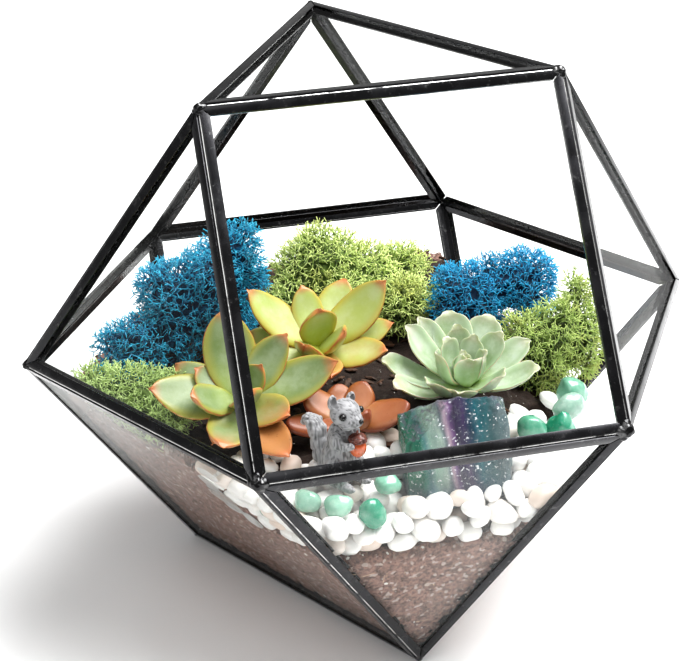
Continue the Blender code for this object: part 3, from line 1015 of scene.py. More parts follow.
def pebble_places():
    """Centres and radii of the pebbles, shaken apart inside the frame's gravel bed."""
    look = bpy.context.scene.terrarium_fill
    bed = merged_copy("white_gravel_bed")
    tree = BVHTree.FromBMesh(bed)
    low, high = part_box("white_gravel_bed")
    dice = Random(7)
    centres, radii = [], []
    tries = 0
    while len(centres) < GRAVEL_COUNT and tries < 60000:
        tries += 1
        point = Vector([dice.uniform(a, b) for a, b in zip(low, high)])
        radius = look.pebble_radius * dice.uniform(0.72, 1.2)
        depth, _ = depth_inside(tree, point)
        if depth < radius * 0.45:
            continue
        if all((point - c).length > 0.8 * (radius + r) for c, r in zip(centres, radii)):
            centres.append(point)
            radii.append(radius)
    sizes = np.array(radii)
    spots = np.array(centres)
    for _ in range(60):
        gaps = spots[:, None] - spots[None]
        distance = np.linalg.norm(gaps, axis=2) + 1e-9
        overlap = np.clip(0.86 * (sizes[:, None] + sizes[None]) - distance, 0, None)
        np.fill_diagonal(overlap, 0)
        push = (gaps / distance[..., None] * overlap[..., None]).sum(axis=1) * 0.3
        spots = spots + push + (0, 0, -0.02 * MM)
        for i, spot in enumerate(spots):
            depth, normal = depth_inside(tree, Vector(spot))
            short = sizes[i] * 0.62 - depth
            if short > 0:
                spots[i] = spot - np.array(normal) * short * 0.8
    bed.free()
    return [(Vector(s), r) for s, r in zip(spots, radii)] + loose_pebbles(dice)


def loose_pebbles(dice):
    """Pebbles that lie on the soil behind the squirrel, at the edge of the bed."""
    found = []
    tries = 0
    while len(found) < LOOSE_COUNT and tries < 4000:
        tries += 1
        radius = dice.uniform(2.7, 3.9) * MM
        across = dice.uniform(-52, 6)
        back = dice.uniform(-55, -43 if across > -16 or across < -38 else -50)
        point = Vector((across * MM, back * MM, 70.5 * MM))
        if all((point - other).length > 0.85 * (radius + size) for other, size in found):
            found.append((point, radius))
    return found


def build_gravel():
    """Water-worn white pebbles, a few of them pink or beige."""
    dice = Random(19)
    bm = bmesh.new()
    tone = bm.verts.layers.float.new("tone")
    places = pebble_places()
    top = max(p.z for p, _ in places)
    for number, (point, radius) in enumerate(places):
        hidden = room_left([point])[0] > 14 * MM and point.z < top - 12 * MM
        turn = Euler([dice.uniform(-0.6, 0.6), dice.uniform(-0.6, 0.6), dice.uniform(0, 6.3)])
        flat = (dice.uniform(1.0, 1.25), dice.uniform(0.85, 1.0), dice.uniform(0.62, 0.85), 1)
        place = Matrix.Translation(point) @ turn.to_matrix().to_4x4() @ Matrix.Diagonal(flat)
        made = bmesh.ops.create_icosphere(
            bm, subdivisions=2 if hidden else 3, radius=radius, matrix=place
        )
        shade = dice.random()
        for vert in made["verts"]:
            out = vert.co - point
            dent = noise.noise(out / radius * 0.9 + Vector((number, 0, 0)))
            fine = noise.noise(out / radius * 2.2 + Vector((0, number, 0)))
            square = sum(abs(c) ** 3.2 for c in out.normalized()) ** (-1 / 3.2)
            vert.co = point + out * (0.62 + 0.38 * square + 0.2 * dent + 0.06 * fine)
            vert[tone] = shade
    press_inside(bm)
    add_piece("white_pebbles", bm, pebble_finish(), ["white_gravel_bed"])


# Stones and the fluorite block

GREEN_STONES = {
    # stone: share of mint in it, share of sage grey in it
    "front_emerald": (0.05, 0.0),
    "front_mint": (0.75, 0.1),
    "front_pale": (0.85, 0.35),
    "beside_fluorite": (0.55, 0.1),
    "left_upper": (0.8, 0.2),
    "left_lower": (0.6, 0.1),
    "right_bright": (0.25, 0.0),
    "right_emerald": (0.0, 0.0),
    "right_pale": (0.5, 0.8),
    "right_back": (0.35, 0.2),
}


def blend(first, second, share):
    return [a + (b - a) * share for a, b in zip(first, second)]


def build_green_stones():
    """Ten tumbled stones, from dark emerald to pale mint."""
    look = bpy.context.scene.terrarium_stones
    for number, (stone, (mint, sage)) in enumerate(GREEN_STONES.items()):
        node = "green_stone_" + stone
        bm = remesh(merged_copy(node), 0.45 * MM)
        smooth(bm, 7)
        for vert in bm.verts:
            dent = noise.noise(vert.co / (4 * MM) + Vector((number, 0, 0)))
            vert.co += vert.normal * (0.15 + 0.45 * dent) * MM
        colour = blend(blend(look.emerald, look.mint, mint), (0.3, 0.42, 0.36), sage)
        cloud = blend(colour, (0.62, 0.78, 0.68), 0.18 + 0.3 * mint)
        finish = tumbled_finish("stone_" + stone, colour, cloud, 0.12 * sage)
        add_piece("tumbled_" + stone, bm, finish, [node])


FLUORITE_CUTS = (
    # outward direction of each sawn corner, and its reach as a share of the block's own
    ((-1, -0.2, 0.9), 0.76),
    ((0.9, -0.3, 0.8), 0.9),
    ((0.05, 0.6, 0.8), 0.5),
    ((-0.8, -0.8, 0.1), 0.93),
    ((0.9, -0.7, -0.2), 0.9),
)


def build_fluorite():
    """A block of banded fluorite, sawn and tumbled, with chipped corners."""
    low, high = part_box("fluorite_block")
    bm = merged_copy("fluorite_block")
    lean = Matrix.Identity(4)
    lean[1][2], lean[2][2] = 0.16, 1.27
    at_foot = Matrix.Translation((0, 0, -low.z))
    bmesh.ops.transform(bm, matrix=at_foot.inverted() @ lean @ at_foot, verts=bm.verts)
    middle = (low + high) / 2 + Vector((0, 3, 2)) * MM
    for direction, reach in FLUORITE_CUTS:
        outward = Vector(direction).normalized()
        farthest = max((v.co - middle).dot(outward) for v in bm.verts)
        cut = bmesh.ops.bisect_plane(
            bm,
            geom=[*bm.verts, *bm.edges, *bm.faces],
            plane_co=middle + outward * farthest * reach,
            plane_no=outward,
            clear_outer=True,
        )
        rim = [g for g in cut["geom_cut"] if isinstance(g, bmesh.types.BMEdge)]
        bmesh.ops.edgeloop_fill(bm, edges=rim)
    bm = remesh(bm, 0.42 * MM)
    smooth(bm, 4)
    for vert in bm.verts:
        chips = noise.voronoi(vert.co / (8 * MM))[0][0]
        x, y, z = vert.co
        ribs = noise.noise(Vector((x / (1.6 * MM), y / (1.6 * MM), z / (9 * MM))))
        grit = noise.noise(vert.co / (0.9 * MM)) * (1.0 if vert.normal.z > 0.5 else 0.3)
        vert.co += vert.normal * (0.5 - 1.5 * chips + 0.28 * ribs + 0.3 * grit) * MM
    add_piece("banded_block", bm, fluorite_finish(low, high), ["fluorite_block"])


# The squirrel

# Millimetres, in the squirrel's own space: it faces +X, and its feet stand at z = 0

SQUIRREL_PLACE = Vector((-23.5, -62, 68.6))
SQUIRREL_FACING = math.radians(-57)
SQUIRREL_LOBES = (
    # centre, half sizes
    ((-0.3, 0, 7.2), (5.4, 5.2, 8)),
    ((0.8, 0, 14.6), (4.1, 4.2, 6.2)),
    ((1.8, 3.9, 5.2), (4.8, 2.6, 4.9)),
    ((1.8, -3.9, 5.2), (4.8, 2.6, 4.9)),
    ((5.4, 3.6, 1.4), (4.0, 1.7, 1.4)),
    ((5.4, -3.6, 1.4), (4.0, 1.7, 1.4)),
    ((2.9, 0, 24.1), (4.6, 4.7, 4.2)),
    ((4.4, 0, 22.6), (4.2, 3.9, 3.2)),
    ((6.8, 0, 22.5), (2.6, 2.1, 1.8)),
    ((8.0, 0, 22.8), (1.5, 1.3, 1.2)),
    ((5.4, 2.0, 21.8), (2.2, 2.1, 1.9)),
    ((5.4, -2.0, 21.8), (2.2, 2.1, 1.9)),
    ((2.6, 3.8, 16.0), (2.2, 1.5, 3.0)),
    ((2.6, -3.8, 16.0), (2.2, 1.5, 3.0)),
    ((4.9, 3.5, 14.8), (2.9, 1.2, 1.3)),
    ((4.9, -3.5, 14.8), (2.9, 1.2, 1.3)),
    ((7.2, 3.0, 15.4), (1.5, 1.0, 1.1)),
    ((7.2, -2.6, 15.4), (1.5, 1.0, 1.1)),
    ((-5.2, 0, 3.2), (3.0, 2.6, 3.2)),
    ((-7.4, 0, 6.8), (2.7, 2.8, 3.8)),
    ((-8.4, 0, 10.6), (2.5, 3.0, 3.4)),
    ((-8.8, 0, 14.2), (2.6, 3.1, 3.0)),
    ((-10.2, 0, 16.6), (2.5, 2.9, 2.2)),
    ((-12.2, 0, 17.0), (2.0, 2.4, 1.7)),
    ((-13.5, 0, 15.9), (1.4, 1.8, 1.3)),
)
SQUIRREL_EARS = (((1.4, 4.1, 26.8), (1.0, 1.7, 2.2)), ((1.4, -3.8, 28.5), (1.0, 1.8, 2.4)))
SQUIRREL_EYES = (((5.5, 3.8, 24.6), 1.05), ((5.5, -3.8, 24.8), 1.05))
SQUIRREL_NOSE = ((9.3, 0, 23.2), 0.75)
ACORN = ((7.2, 0.5, 13.8), (2.6, 2.6, 3.4))
ACORN_CAP = ((7.2, 0.5, 16.6), (2.75, 2.75, 1.5))
ACORN_STEM = ((7.2, 0.5, 18.5), (0.4, 0.4, 1.1))
TAIL_FROM = -4.5  # the tail lies behind this x
FACE_FROM = Vector((2, 0, 17.5))  # the face lies before this x and above this z


def squirrel_matrix():
    turn = Matrix.Rotation(SQUIRREL_FACING, 4, "Z")
    return Matrix.Translation(SQUIRREL_PLACE * MM) @ turn @ Matrix.Scale(MM, 4)


def add_lobe(bm, centre, half_sizes, subdivisions=3):
    place = Matrix.Translation(centre) @ Matrix.Diagonal((*half_sizes, 1))
    made = bmesh.ops.create_icosphere(bm, subdivisions=subdivisions, radius=1, matrix=place)
    return made["verts"]


def build_squirrel():
    """A grey resin squirrel that sits upright and holds an acorn."""
    look = bpy.context.scene.terrarium_squirrel
    bm = bmesh.new()
    for centre, half_sizes in SQUIRREL_LOBES + SQUIRREL_EARS:
        add_lobe(bm, centre, half_sizes)
    bmesh.ops.scale(bm, verts=bm.verts, vec=(MM, MM, MM))
    bm = remesh(bm, 0.28 * MM)
    smooth(bm, 4)
    stroke = bm.verts.layers.float.new("stroke")
    for vert in bm.verts:
        point = vert.co / MM
        tail = point.x < TAIL_FROM
        face = point.z > FACE_FROM.z and point.x > FACE_FROM.x
        grain = Vector((point.x / 1.1, point.y / 1.0, point.z / 4.5))
        if tail:
            grain = Vector((point.x / 1.6, point.y / 1.0, point.z / 8))
        if face:
            grain = Vector((point.x / 2.6, point.y / 0.9, point.z / 1.1))
        cut = noise.noise(grain * 1.8)
        # The groove depth also sets the painted shade in the grooves.
        vert[stroke] = cut
        depth = look.fur_depth * (2.2 if tail else 0.45 if face else 1.2)
        for eye, radius in SQUIRREL_EYES:
            away = (point - Vector(eye)).length / radius
            if away < 2.2:
                # Painted shade in a ring round the eye, and plain fur just outside it.
                vert[stroke] = 0.3 if away > 1.25 else -0.4
                depth = 0.0
        vert.co += vert.normal * (cut * depth)
        for centre, half_sizes in SQUIRREL_EARS:
            off = point - Vector(centre)
            reach = math.hypot(off.y / half_sizes[1], off.z / half_sizes[2]) / 0.72
            if reach < 1 and -0.2 < off.x < 2:
                # Painted shade in the ear hollow.
                vert[stroke] = -0.4
                vert.co.x -= 0.9 * MM * (1 - reach**2)
    bmesh.ops.transform(bm, matrix=squirrel_matrix() @ Matrix.Scale(1 / MM, 4), verts=bm.verts)
    add_piece("squirrel", bm, fur_finish(), ["squirrel_figurine"])

    bm = bmesh.new()
    for centre, radius in (*SQUIRREL_EYES, SQUIRREL_NOSE):
        add_lobe(bm, centre, (radius, radius, radius))
    bmesh.ops.transform(bm, matrix=squirrel_matrix(), verts=bm.verts)
    black = plain_finish("black_gloss", (0.006, 0.005, 0.005), 0.12, 0.1, coat=0.15)
    add_piece("squirrel_eyes_and_nose", bm, black)

    bm = bmesh.new()
    nut = add_lobe(bm, *ACORN, 4)
    for vert in nut:
        below = max(0, ACORN[0][2] - vert.co.z) / ACORN[1][2]
        pinch = 1 - 0.35 * below ** 3
        vert.co.x = ACORN[0][0] + (vert.co.x - ACORN[0][0]) * pinch
        vert.co.y = ACORN[0][1] + (vert.co.y - ACORN[0][1]) * pinch
    bmesh.ops.transform(bm, matrix=squirrel_matrix(), verts=bm.verts)
    add_piece("acorn_nut", bm, plain_finish("nut", look.nut, 0.25, 0.12, 200, 0.9))

    bm = bmesh.new()
    for vert in add_lobe(bm, *ACORN_CAP, 4):
        out = vert.co - Vector(ACORN_CAP[0])
        scale = noise.cell(out * 1.6) * 0.12
        vert.co = Vector(ACORN_CAP[0]) + out * (1 + scale)
        vert.co.z = max(vert.co.z, ACORN_CAP[0][2] - 0.6)
    add_lobe(bm, *ACORN_STEM)
    bmesh.ops.transform(bm, matrix=squirrel_matrix(), verts=bm.verts)
    add_piece("acorn_cap", bm, plain_finish("cap", look.cap, 0.4, 0.25, 700, 0.5))


# Succulents

Leaf = namedtuple("Leaf", "azimuth elevation length width age", defaults=(0.0,))
Habit = namedtuple("Habit", "thickness foot tip cup curl spike")

GOLDEN_HABIT = Habit(thickness=4.0, foot=0.72, tip=0.68, cup=0.5, curl=0.08, spike=0.8)
RED_HABIT = Habit(thickness=5.4, foot=0.62, tip=0.55, cup=0.1, curl=0.06, spike=0.3)
PALE_HABIT = Habit(thickness=2.8, foot=1.1, tip=0.42, cup=1.5, curl=0.24, spike=1.6)

GOLDEN_LEFT = (
    Leaf(180, 14, 28, 16),
    Leaf(92, 60, 28, 17),
    Leaf(20, 42, 25, 13),
    Leaf(-10, 18, 33, 15, 0.15),
    Leaf(-50, -2, 20, 14, 0.5),
    Leaf(-112, -8, 26, 14, 0.4),
    Leaf(-68, -18, 29, 14, 1.0),
    Leaf(150, 34, 16, 12),
    Leaf(128, 8, 25, 14),
    Leaf(-150, 22, 20, 12, 0.1),
    Leaf(-80, 30, 16, 11),
    Leaf(-20, 56, 15, 10),
    Leaf(60, 22, 20, 12, 0.2),
    Leaf(-130, -26, 18, 10, 1.0),
)
GOLDEN_CENTRE = (
    Leaf(158, 38, 29, 14),
    Leaf(4, 38, 30, 14),
    Leaf(-95, 68, 19, 13),
    Leaf(52, 34, 25, 13),
    Leaf(-168, 6, 20, 12, 0.3),
    Leaf(-38, 4, 24, 13, 0.5),
    Leaf(-2, 10, 25, 12, 0.3),
    Leaf(166, 8, 23, 13, 0.2),
    Leaf(-60, 34, 17, 11),
    Leaf(-120, 24, 17, 11, 0.2),
    Leaf(100, 52, 20, 11),
    Leaf(-90, -8, 19, 11, 0.8),
)
RED_CENTRE = (
    Leaf(150, 30, 16, 11, 0.3),
    Leaf(178, 2, 19, 10, 0.8),
    Leaf(-14, 12, 20, 12, 0.6),
    Leaf(42, 34, 14, 10, 0.3),
    Leaf(92, 30, 13, 10, 0.4),
    Leaf(-150, 6, 12, 7, 1.0),
    Leaf(-60, 30, 11, 8, 0.2),
)
PALE_RIGHT = (
    Leaf(90, 36, 23, 13.5),
    Leaf(48, 30, 23, 12.5),
    Leaf(14, 12, 24, 11.5),
    Leaf(-20, 4, 23, 10, 0.2),
    Leaf(150, 34, 25, 11.5),
    Leaf(124, 34, 24, 10, 0.1),
    Leaf(172, 12, 27, 11, 0.1),
    Leaf(-164, 4, 26, 10.5, 0.3),
    Leaf(-140, 12, 22, 10, 0.2),
    Leaf(-58, 16, 18, 10.5),
    Leaf(-86, 44, 14, 11),
    Leaf(96, 60, 18, 8.5),
    Leaf(16, 38, 19, 9),
    Leaf(-160, 40, 18, 9),
    Leaf(142, 58, 16, 8),
    Leaf(-112, 6, 17, 10.5, 0.2),
    Leaf(44, 58, 15, 8),
    Leaf(-30, 48, 14, 8),
    Leaf(-130, 62, 12, 7.5),
    Leaf(66, 14, 23, 12),
    Leaf(106, 14, 23, 12),
    Leaf(-20, 74, 10, 6),
    Leaf(100, 78, 11, 6),
    Leaf(-150, 80, 9, 5.5),
)


def beta_width(t, foot, tip):
    """A leaf's outline: how wide it is at a share t of its length, 1 at its widest."""
    widest = foot / (foot + tip)
    peak = widest ** foot * (1 - widest) ** tip
    return max(0.0, t) ** foot * max(0.0, 1 - t) ** tip / peak


def leaf_frame(heart, axis, leaf):
    """Where a leaf stands: X along it, Z out of the face that it turns to the plant's axis."""
    azimuth, elevation = math.radians(leaf.azimuth), math.radians(leaf.elevation)
    level = math.cos(elevation)
    along = Vector((math.cos(azimuth) * level, math.sin(azimuth) * level, math.sin(elevation)))
    up = (axis - along * axis.dot(along)).normalized()
    turn = Matrix((along, up.cross(along), up)).transposed().to_4x4()
    return Matrix.Translation(Vector(heart) * MM) @ turn @ Matrix.Scale(MM, 4)


def add_leaf(bm, heart, axis, leaf, habit, seed):
    """One fleshy leaf: a sphere drawn out to its outline, keeled below and cupped above."""
    where = bm.verts.layers.float_vector["leaf"]
    age = bm.verts.layers.float["age"]
    made = bmesh.ops.create_uvsphere(bm, u_segments=22, v_segments=26, radius=1)["verts"]
    place = leaf_frame(heart, axis, leaf)
    for vert in made:
        direction = vert.co.normalized()
        t = (1 + direction.z) / 2
        round_about = math.atan2(direction.y, direction.x)
        across, side = math.cos(round_about), math.sin(round_about)
        reach = t if t > 0 else 0.0
        wide = leaf.width / 2 * beta_width(reach, habit.foot, habit.tip)
        stem = 0.55 * max(0, 1 - reach / 0.25)
        wide = max(wide, stem * leaf.width / 5)
        thick = habit.thickness * (0.32 + 0.68 * beta_width(reach, 0.5, 0.6)) * min(1, wide / 1.5)
        under = 0.62 if side < 0 else 0.38
        hollow = 0.5 * (1 - abs(across)) * min(1, habit.cup)
        keel = 1 - (0.25 * abs(across) if side < 0 else hollow)
        flat = abs(across) ** 0.85 * (1 if across > 0 else -1)
        x = leaf.length * reach
        y = wide * flat
        z = thick * under * side * keel
        z += habit.cup * (y / max(wide, 0.1)) ** 2 * wide * 0.22
        z += habit.curl * leaf.length * reach ** 2 - 0.06 * leaf.length * math.sin(math.pi * reach)
        x += habit.spike * max(0, (reach - 0.985) / 0.015) ** 1.5
        sway = wander(Vector((reach * 2, across * 0.6, seed)), 1, seed)
        edge = 0.25 * noise.noise(Vector((reach * 7, across * 2, seed * 3)))
        local = Vector((x, y + sway.y * reach * 1.2 + edge * abs(across), z + sway.z * reach * 0.9))
        vert.co = place @ local
        vert[where] = (across, reach, side)
        vert[age] = leaf.age


def build_plant(name, node, heart, axis, leaves, habit, finish):
    """A rosette of leaves round a heart, which leans along an axis."""
    bm = bmesh.new()
    bm.verts.layers.float_vector.new("leaf")
    bm.verts.layers.float.new("age")
    for number, leaf in enumerate(leaves):
        add_leaf(bm, heart, Vector(axis).normalized(), leaf, habit, number + len(name))
    bmesh.ops.remove_doubles(bm, verts=bm.verts, dist=0.002 * MM)
    bmesh.ops.recalc_face_normals(bm, faces=bm.faces)
    press_inside(bm)
    add_piece(name, bm, finish, [node])


def build_golden_left():
    """The left golden sedum, sunburnt below."""
    look = bpy.context.scene.terrarium_plants
    finish = leaf_finish(
        "golden_leaf",
        face=look.golden,
        heart=(0.28, 0.36, 0.06),
        margin=(0.42, 0.38, 0.06),
        edge=look.golden_edge,
        edge_width=0.06,
        bloom=0.27,
        speckle=0.8,
    )
    build_plant(
        "golden_leaves_left",
        "golden_sedum_left",
        (-48, -31, 84),
        (0.0, -0.55, 0.8),
        GOLDEN_LEFT,
        GOLDEN_HABIT,
        finish,
    )


def build_golden_centre():
    """The golden sedum in the middle."""
    look = bpy.context.scene.terrarium_plants
    finish = leaf_finish(
        "golden_leaf_centre",
        face=(0.46, 0.54, 0.15),
        heart=(0.44, 0.48, 0.05),
        margin=(0.54, 0.42, 0.06),
        edge=look.golden_edge,
        edge_width=0.045,
        bloom=0.3,
        speckle=0.8,
    )
    build_plant(
        "golden_leaves_centre",
        "golden_sedum_centre",
        (-18, -12, 89),
        (0.0, -0.5, 0.85),
        GOLDEN_CENTRE,
        GOLDEN_HABIT,
        finish,
    )


def build_red():
    """The fat red leaves behind the squirrel."""
    look = bpy.context.scene.terrarium_plants
    finish = leaf_finish(
        "red_leaf",
        face=look.red,
        heart=(0.36, 0.2, 0.06),
        margin=(0.34, 0.13, 0.035),
        edge=(0.22, 0.05, 0.02),
        edge_width=0.2,
        bloom=0.06,
        speckle=0.8,
    )
    build_plant(
        "red_leaves",
        "red_sedum",
        (-16, -41, 77),
        (0.0, -0.35, 0.9),
        RED_CENTRE,
        RED_HABIT,
        finish,
    )


def build_echeveria():
    """The pale rosette on the right."""
    look = bpy.context.scene.terrarium_plants
    finish = leaf_finish(
        "pale_green_leaf",
        face=look.pale,
        heart=look.pale_heart,
        margin=(0.62, 0.74, 0.56),
        edge=(0.72, 0.52, 0.42),
        edge_width=0.05,
        bloom=0.7,
        speckle=0.0,
        blush=0.3,
    )
    build_plant(
        "echeveria_leaves",
        "echeveria",
        (25, -30, 78),
        (-0.05, -0.3, 0.95),
        PALE_RIGHT,
        PALE_HABIT,
        finish,
    )


# Moss

FORKS = 3
STRAND_LENGTH = 3.7 * MM  # of the first strand of a sprig
SPRIG_KINDS = 8
SPRIG_LIMIT = 1500

MOSS_LOBES = {
    # lumps of each clump: centre, half sizes
    "blue_left": (
        ((-46, 20, 96), (15, 15, 20)),
        ((-60, 16, 100), (11, 10, 13)),
        ((-74, 8, 88), (11, 9, 11)),
        ((-37, 22, 107), (9, 11, 15)),
        ((-60, 13, 88), (9, 9, 13)),
        ((-47, 12, 108), (8, 7, 7)),
        ((-82, 3, 81), (6, 6, 7)),
    ),
    "green_centre": (
        ((-4, 42, 92), (16, 13, 14)),
        ((-15, 34, 84), (10, 10, 11)),
        ((9, 40, 88), (12, 11, 13)),
        ((26, 48, 86), (9, 8, 9)),
        ((20, 24, 83), (9.5, 9, 10.5)),
        ((2, 30, 84), (10, 10, 11)),
    ),
    "blue_right": (
        ((40, 18, 81), (13, 12, 16)),
        ((61, 19, 87), (11, 11, 13)),
        ((50, 20, 88), (9, 9, 11)),
        ((36, 16, 90), (7, 7, 7)),
    ),
    "green_right": (
        ((58, -10, 74), (12, 11, 16)),
        ((69, -9, 79), (10, 10, 15)),
        ((63, -12, 84), (9, 8, 9)),
        ((52, -12, 80), (8, 8, 9)),
        ((72, -7, 92), (5, 5, 7)),
    ),
    "green_front_left": (
        ((-80, -16, 83), (12, 8, 9)),
        ((-71, -24, 77), (10, 7, 7)),
        ((-88, -10, 85), (7, 6, 6)),
        ((-70, -14, 82), (7, 7, 7)),
    ),
}


def add_tube(bm, start, direction, radius, length, reach, joints, roll):
    """A three-sided strand. Returns its end and its last direction."""
    layer = bm.verts.layers.float["reach"]
    place = Matrix.Translation(start) @ turned_to(direction, roll)
    foot = bmesh.ops.create_circle(bm, cap_ends=True, segments=3, radius=radius, matrix=place)
    for vert in foot["verts"]:
        vert[layer] = reach
    face = next(iter(foot["verts"][0].link_faces))
    heading = direction.copy()
    middle = start.copy()
    for joint in range(1, joints + 1):
        grown = bmesh.ops.extrude_face_region(bm, geom=[face])["geom"]
        tip = [g for g in grown if isinstance(g, bmesh.types.BMVert)]
        face = next(g for g in grown if isinstance(g, bmesh.types.BMFace))
        heading = (heading + wander(middle, 1.7 * MM, roll) * 0.55).normalized()
        step = heading * length / joints
        bmesh.ops.translate(bm, verts=tip, vec=step)
        middle = middle + step
        for vert in tip:
            vert.co = middle + (vert.co - middle) * 0.8
            vert[layer] = reach + joint / joints / (FORKS + 1)
    return middle, heading


def grow(bm, start, direction, radius, length, generation, dice):
    """A strand that forks again and again."""
    reach = generation / (FORKS + 1)
    joints = 2 if generation < 2 else 1
    end, heading = add_tube(bm, start, direction, radius, length, reach, joints, dice.uniform(0, 6))
    if generation >= FORKS:
        return
    aside = heading.orthogonal()
    aside.rotate(Matrix.Rotation(dice.uniform(0, 6.3), 3, heading))
    for sign in (1, -1):
        spread = math.tan(math.radians(dice.uniform(18, 42)))
        onward = (heading + aside * sign * spread).normalized()
        foot = end - heading * radius * 0.4
        shorter = length * dice.uniform(0.7, 1.0)
        grow(bm, foot, onward, radius * 0.86, shorter, generation + 1, dice)


def sprig_meshes(strand, count, seed):
    """A handful of sprigs, each with its foot at the origin, growing along +Z."""
    dice = Random(seed)
    sprigs = []
    for _ in range(count):
        bm = bmesh.new()
        bm.verts.layers.float.new("reach")
        grow(bm, Vector(), Vector((0, 0, 1)), strand, STRAND_LENGTH, 0, dice)
        bmesh.ops.recalc_face_normals(bm, faces=bm.faces)
        mesh = bpy.data.meshes.new("sprig")
        bm.to_mesh(mesh)
        bm.free()
        sprigs.append(mesh)
    return sprigs


def spread_points(bm, gap, seed):
    """Points on a mesh's faces that keep this far apart."""
    area = sum(f.calc_area() for f in bm.faces)
    wanted = min(SPRIG_LIMIT, int(area / (gap * gap)))
    kept = []
    cells = {}
    for point, normal in points_on(bm, wanted * 6, seed, lambda p, n: True):
        key = tuple(int(math.floor(c / gap)) for c in point)
        near = [
            other
            for dx in (-1, 0, 1)
            for dy in (-1, 0, 1)
            for dz in (-1, 0, 1)
            for other in cells.get((key[0] + dx, key[1] + dy, key[2] + dz), ())
        ]
        if all((point - other).length > gap * 0.8 for other in near):
            cells.setdefault(key, []).append(point)
            kept.append((point, normal))
        if len(kept) >= wanted:
            break
    return kept


def build_moss_clump(name, node, finish, seed, gap_scale=1.0, height=0.8, sprout=3.0):
    """A clump of forking strands that grow out of a heart painted in shade."""
    look = bpy.context.scene.terrarium_moss
    dice = Random(seed)
    skin = bmesh.new()
    for centre, half_sizes in MOSS_LOBES[node.removeprefix("reindeer_moss_")]:
        add_lobe(skin, Vector(centre) * MM, [size * MM for size in half_sizes])
    for vert in skin.verts:
        vert.co += wander(vert.co, 8 * MM, seed) * 2.6 * MM
    skin = remesh(skin, 1.2 * MM)
    skin.normal_update()
    sprigs = sprig_meshes(look.strand, SPRIG_KINDS, seed)
    bm = bmesh.new()
    bm.verts.layers.float.new("reach")
    for point, normal in spread_points(skin, look.patch * gap_scale, seed):
        if normal.z < -0.75:
            continue
        lean = (normal + Vector((0, 0, 0.3)) + wander(point, 7 * MM, seed) * 1.1).normalized()
        size = height * dice.uniform(0.7, 1.2)
        foot = point - lean * (11.5 * size - sprout) * MM
        sprig = dice.choice(sprigs).copy()
        turn = turned_to(lean, dice.uniform(0, 6.3))
        sprig.transform(Matrix.Translation(foot) @ turn @ Matrix.Scale(size, 4))
        bm.from_mesh(sprig)
        bpy.data.meshes.remove(sprig)
    heart = remesh(skin, 1.4 * MM)
    heart.normal_update()
    heart_mesh = bpy.data.meshes.new("heart")
    depth = heart.verts.layers.float.new("reach")
    # Painted shade: the sunken heart takes the shade colour of the strands' feet.
    for vert in heart.verts:
        lump = noise.noise(vert.co / (2.2 * MM))
        vert.co -= vert.normal * (4.6 + 2 * lump) * MM
        vert[depth] = 0.08 - 0.4 * lump
    heart.to_mesh(heart_mesh)
    heart.free()
    bm.from_mesh(heart_mesh)
    bpy.data.meshes.remove(heart_mesh)
    press_inside(bm)
    for sprig in sprigs:
        bpy.data.meshes.remove(sprig)
    bmesh.ops.recalc_face_normals(bm, faces=bm.faces)
    add_piece(name, bm, finish, [node])


def build_blue_left():
    """The tall blue clump at the back left."""
    look = bpy.context.scene.terrarium_moss
    # Colours: strands, painted highlight at the tips, painted shade at the feet, patches.
    finish = moss_finish(
        "blue_moss", look.blue, (0.03, 0.5, 0.74), (0.001, 0.028, 0.07), (0.005, 0.28, 0.38)
    )
    build_moss_clump("moss_blue_left", "reindeer_moss_blue_left", finish, 1)


def build_blue_right():
    """The finer blue cushion at the right."""
    look = bpy.context.scene.terrarium_moss
    # Colours: strands, painted highlight at the tips, painted shade at the feet, patches.
    finish = moss_finish(
        "blue_moss_right", look.blue, (0.01, 0.42, 0.72), (0.001, 0.026, 0.07), (0.004, 0.27, 0.42)
    )
    build_moss_clump(
        "moss_blue_right", "reindeer_moss_blue_right", finish, 2, 0.92, 0.7
    )


def build_green_centre():
    """The yellow-green clump between the blue ones."""
    look = bpy.context.scene.terrarium_moss
    # Colours: strands, painted highlight at the tips, painted shade at the feet, patches.
    finish = moss_finish(
        "green_moss", look.green, (0.8, 0.92, 0.34), (0.06, 0.1, 0.015), (0.58, 0.62, 0.16)
    )
    build_moss_clump("moss_green_centre", "reindeer_moss_green_centre", finish, 3)


def build_green_right():
    """The dense green clump behind the right stones."""
    look = bpy.context.scene.terrarium_moss
    # Colours: strands, painted highlight at the tips, painted shade at the feet, patches.
    finish = moss_finish(
        "green_moss_right", look.green, (0.6, 0.74, 0.24), (0.045, 0.07, 0.01), (0.46, 0.44, 0.1)
    )
    build_moss_clump(
        "moss_green_right", "reindeer_moss_green_right", finish, 4, 0.9, 0.75
    )


def build_green_left():
    """The low green clump behind the lower left pane."""
    look = bpy.context.scene.terrarium_moss
    # Colours: strands, painted highlight at the tips, painted shade at the feet, patches.
    finish = moss_finish(
        "green_moss_left", look.green, (0.66, 0.84, 0.34), (0.07, 0.12, 0.025), (0.4, 0.56, 0.17)
    )
    build_moss_clump(
        "moss_green_front_left", "reindeer_moss_green_front_left", finish, 5, 0.9, 0.7
    )


# The stage

CAMERA_AZIMUTH = -12.952
CAMERA_ELEVATION = 25.337
CAMERA_ROLL = -1.76
CAMERA_DISTANCE = 633.255 * MM
CAMERA_TARGET = Vector((-8.029, 0, 88.214)) * MM
CAMERA_LENS = 103.24  # mm, on a sensor of this width
CAMERA_SENSOR = 36


def orbit(azimuth, elevation):
    """The direction from the target to a viewer, with azimuth 0 in front."""
    a, e = math.radians(azimuth), math.radians(elevation)
    return Vector((math.sin(a) * math.cos(e), -math.cos(a) * math.cos(e), math.sin(e)))


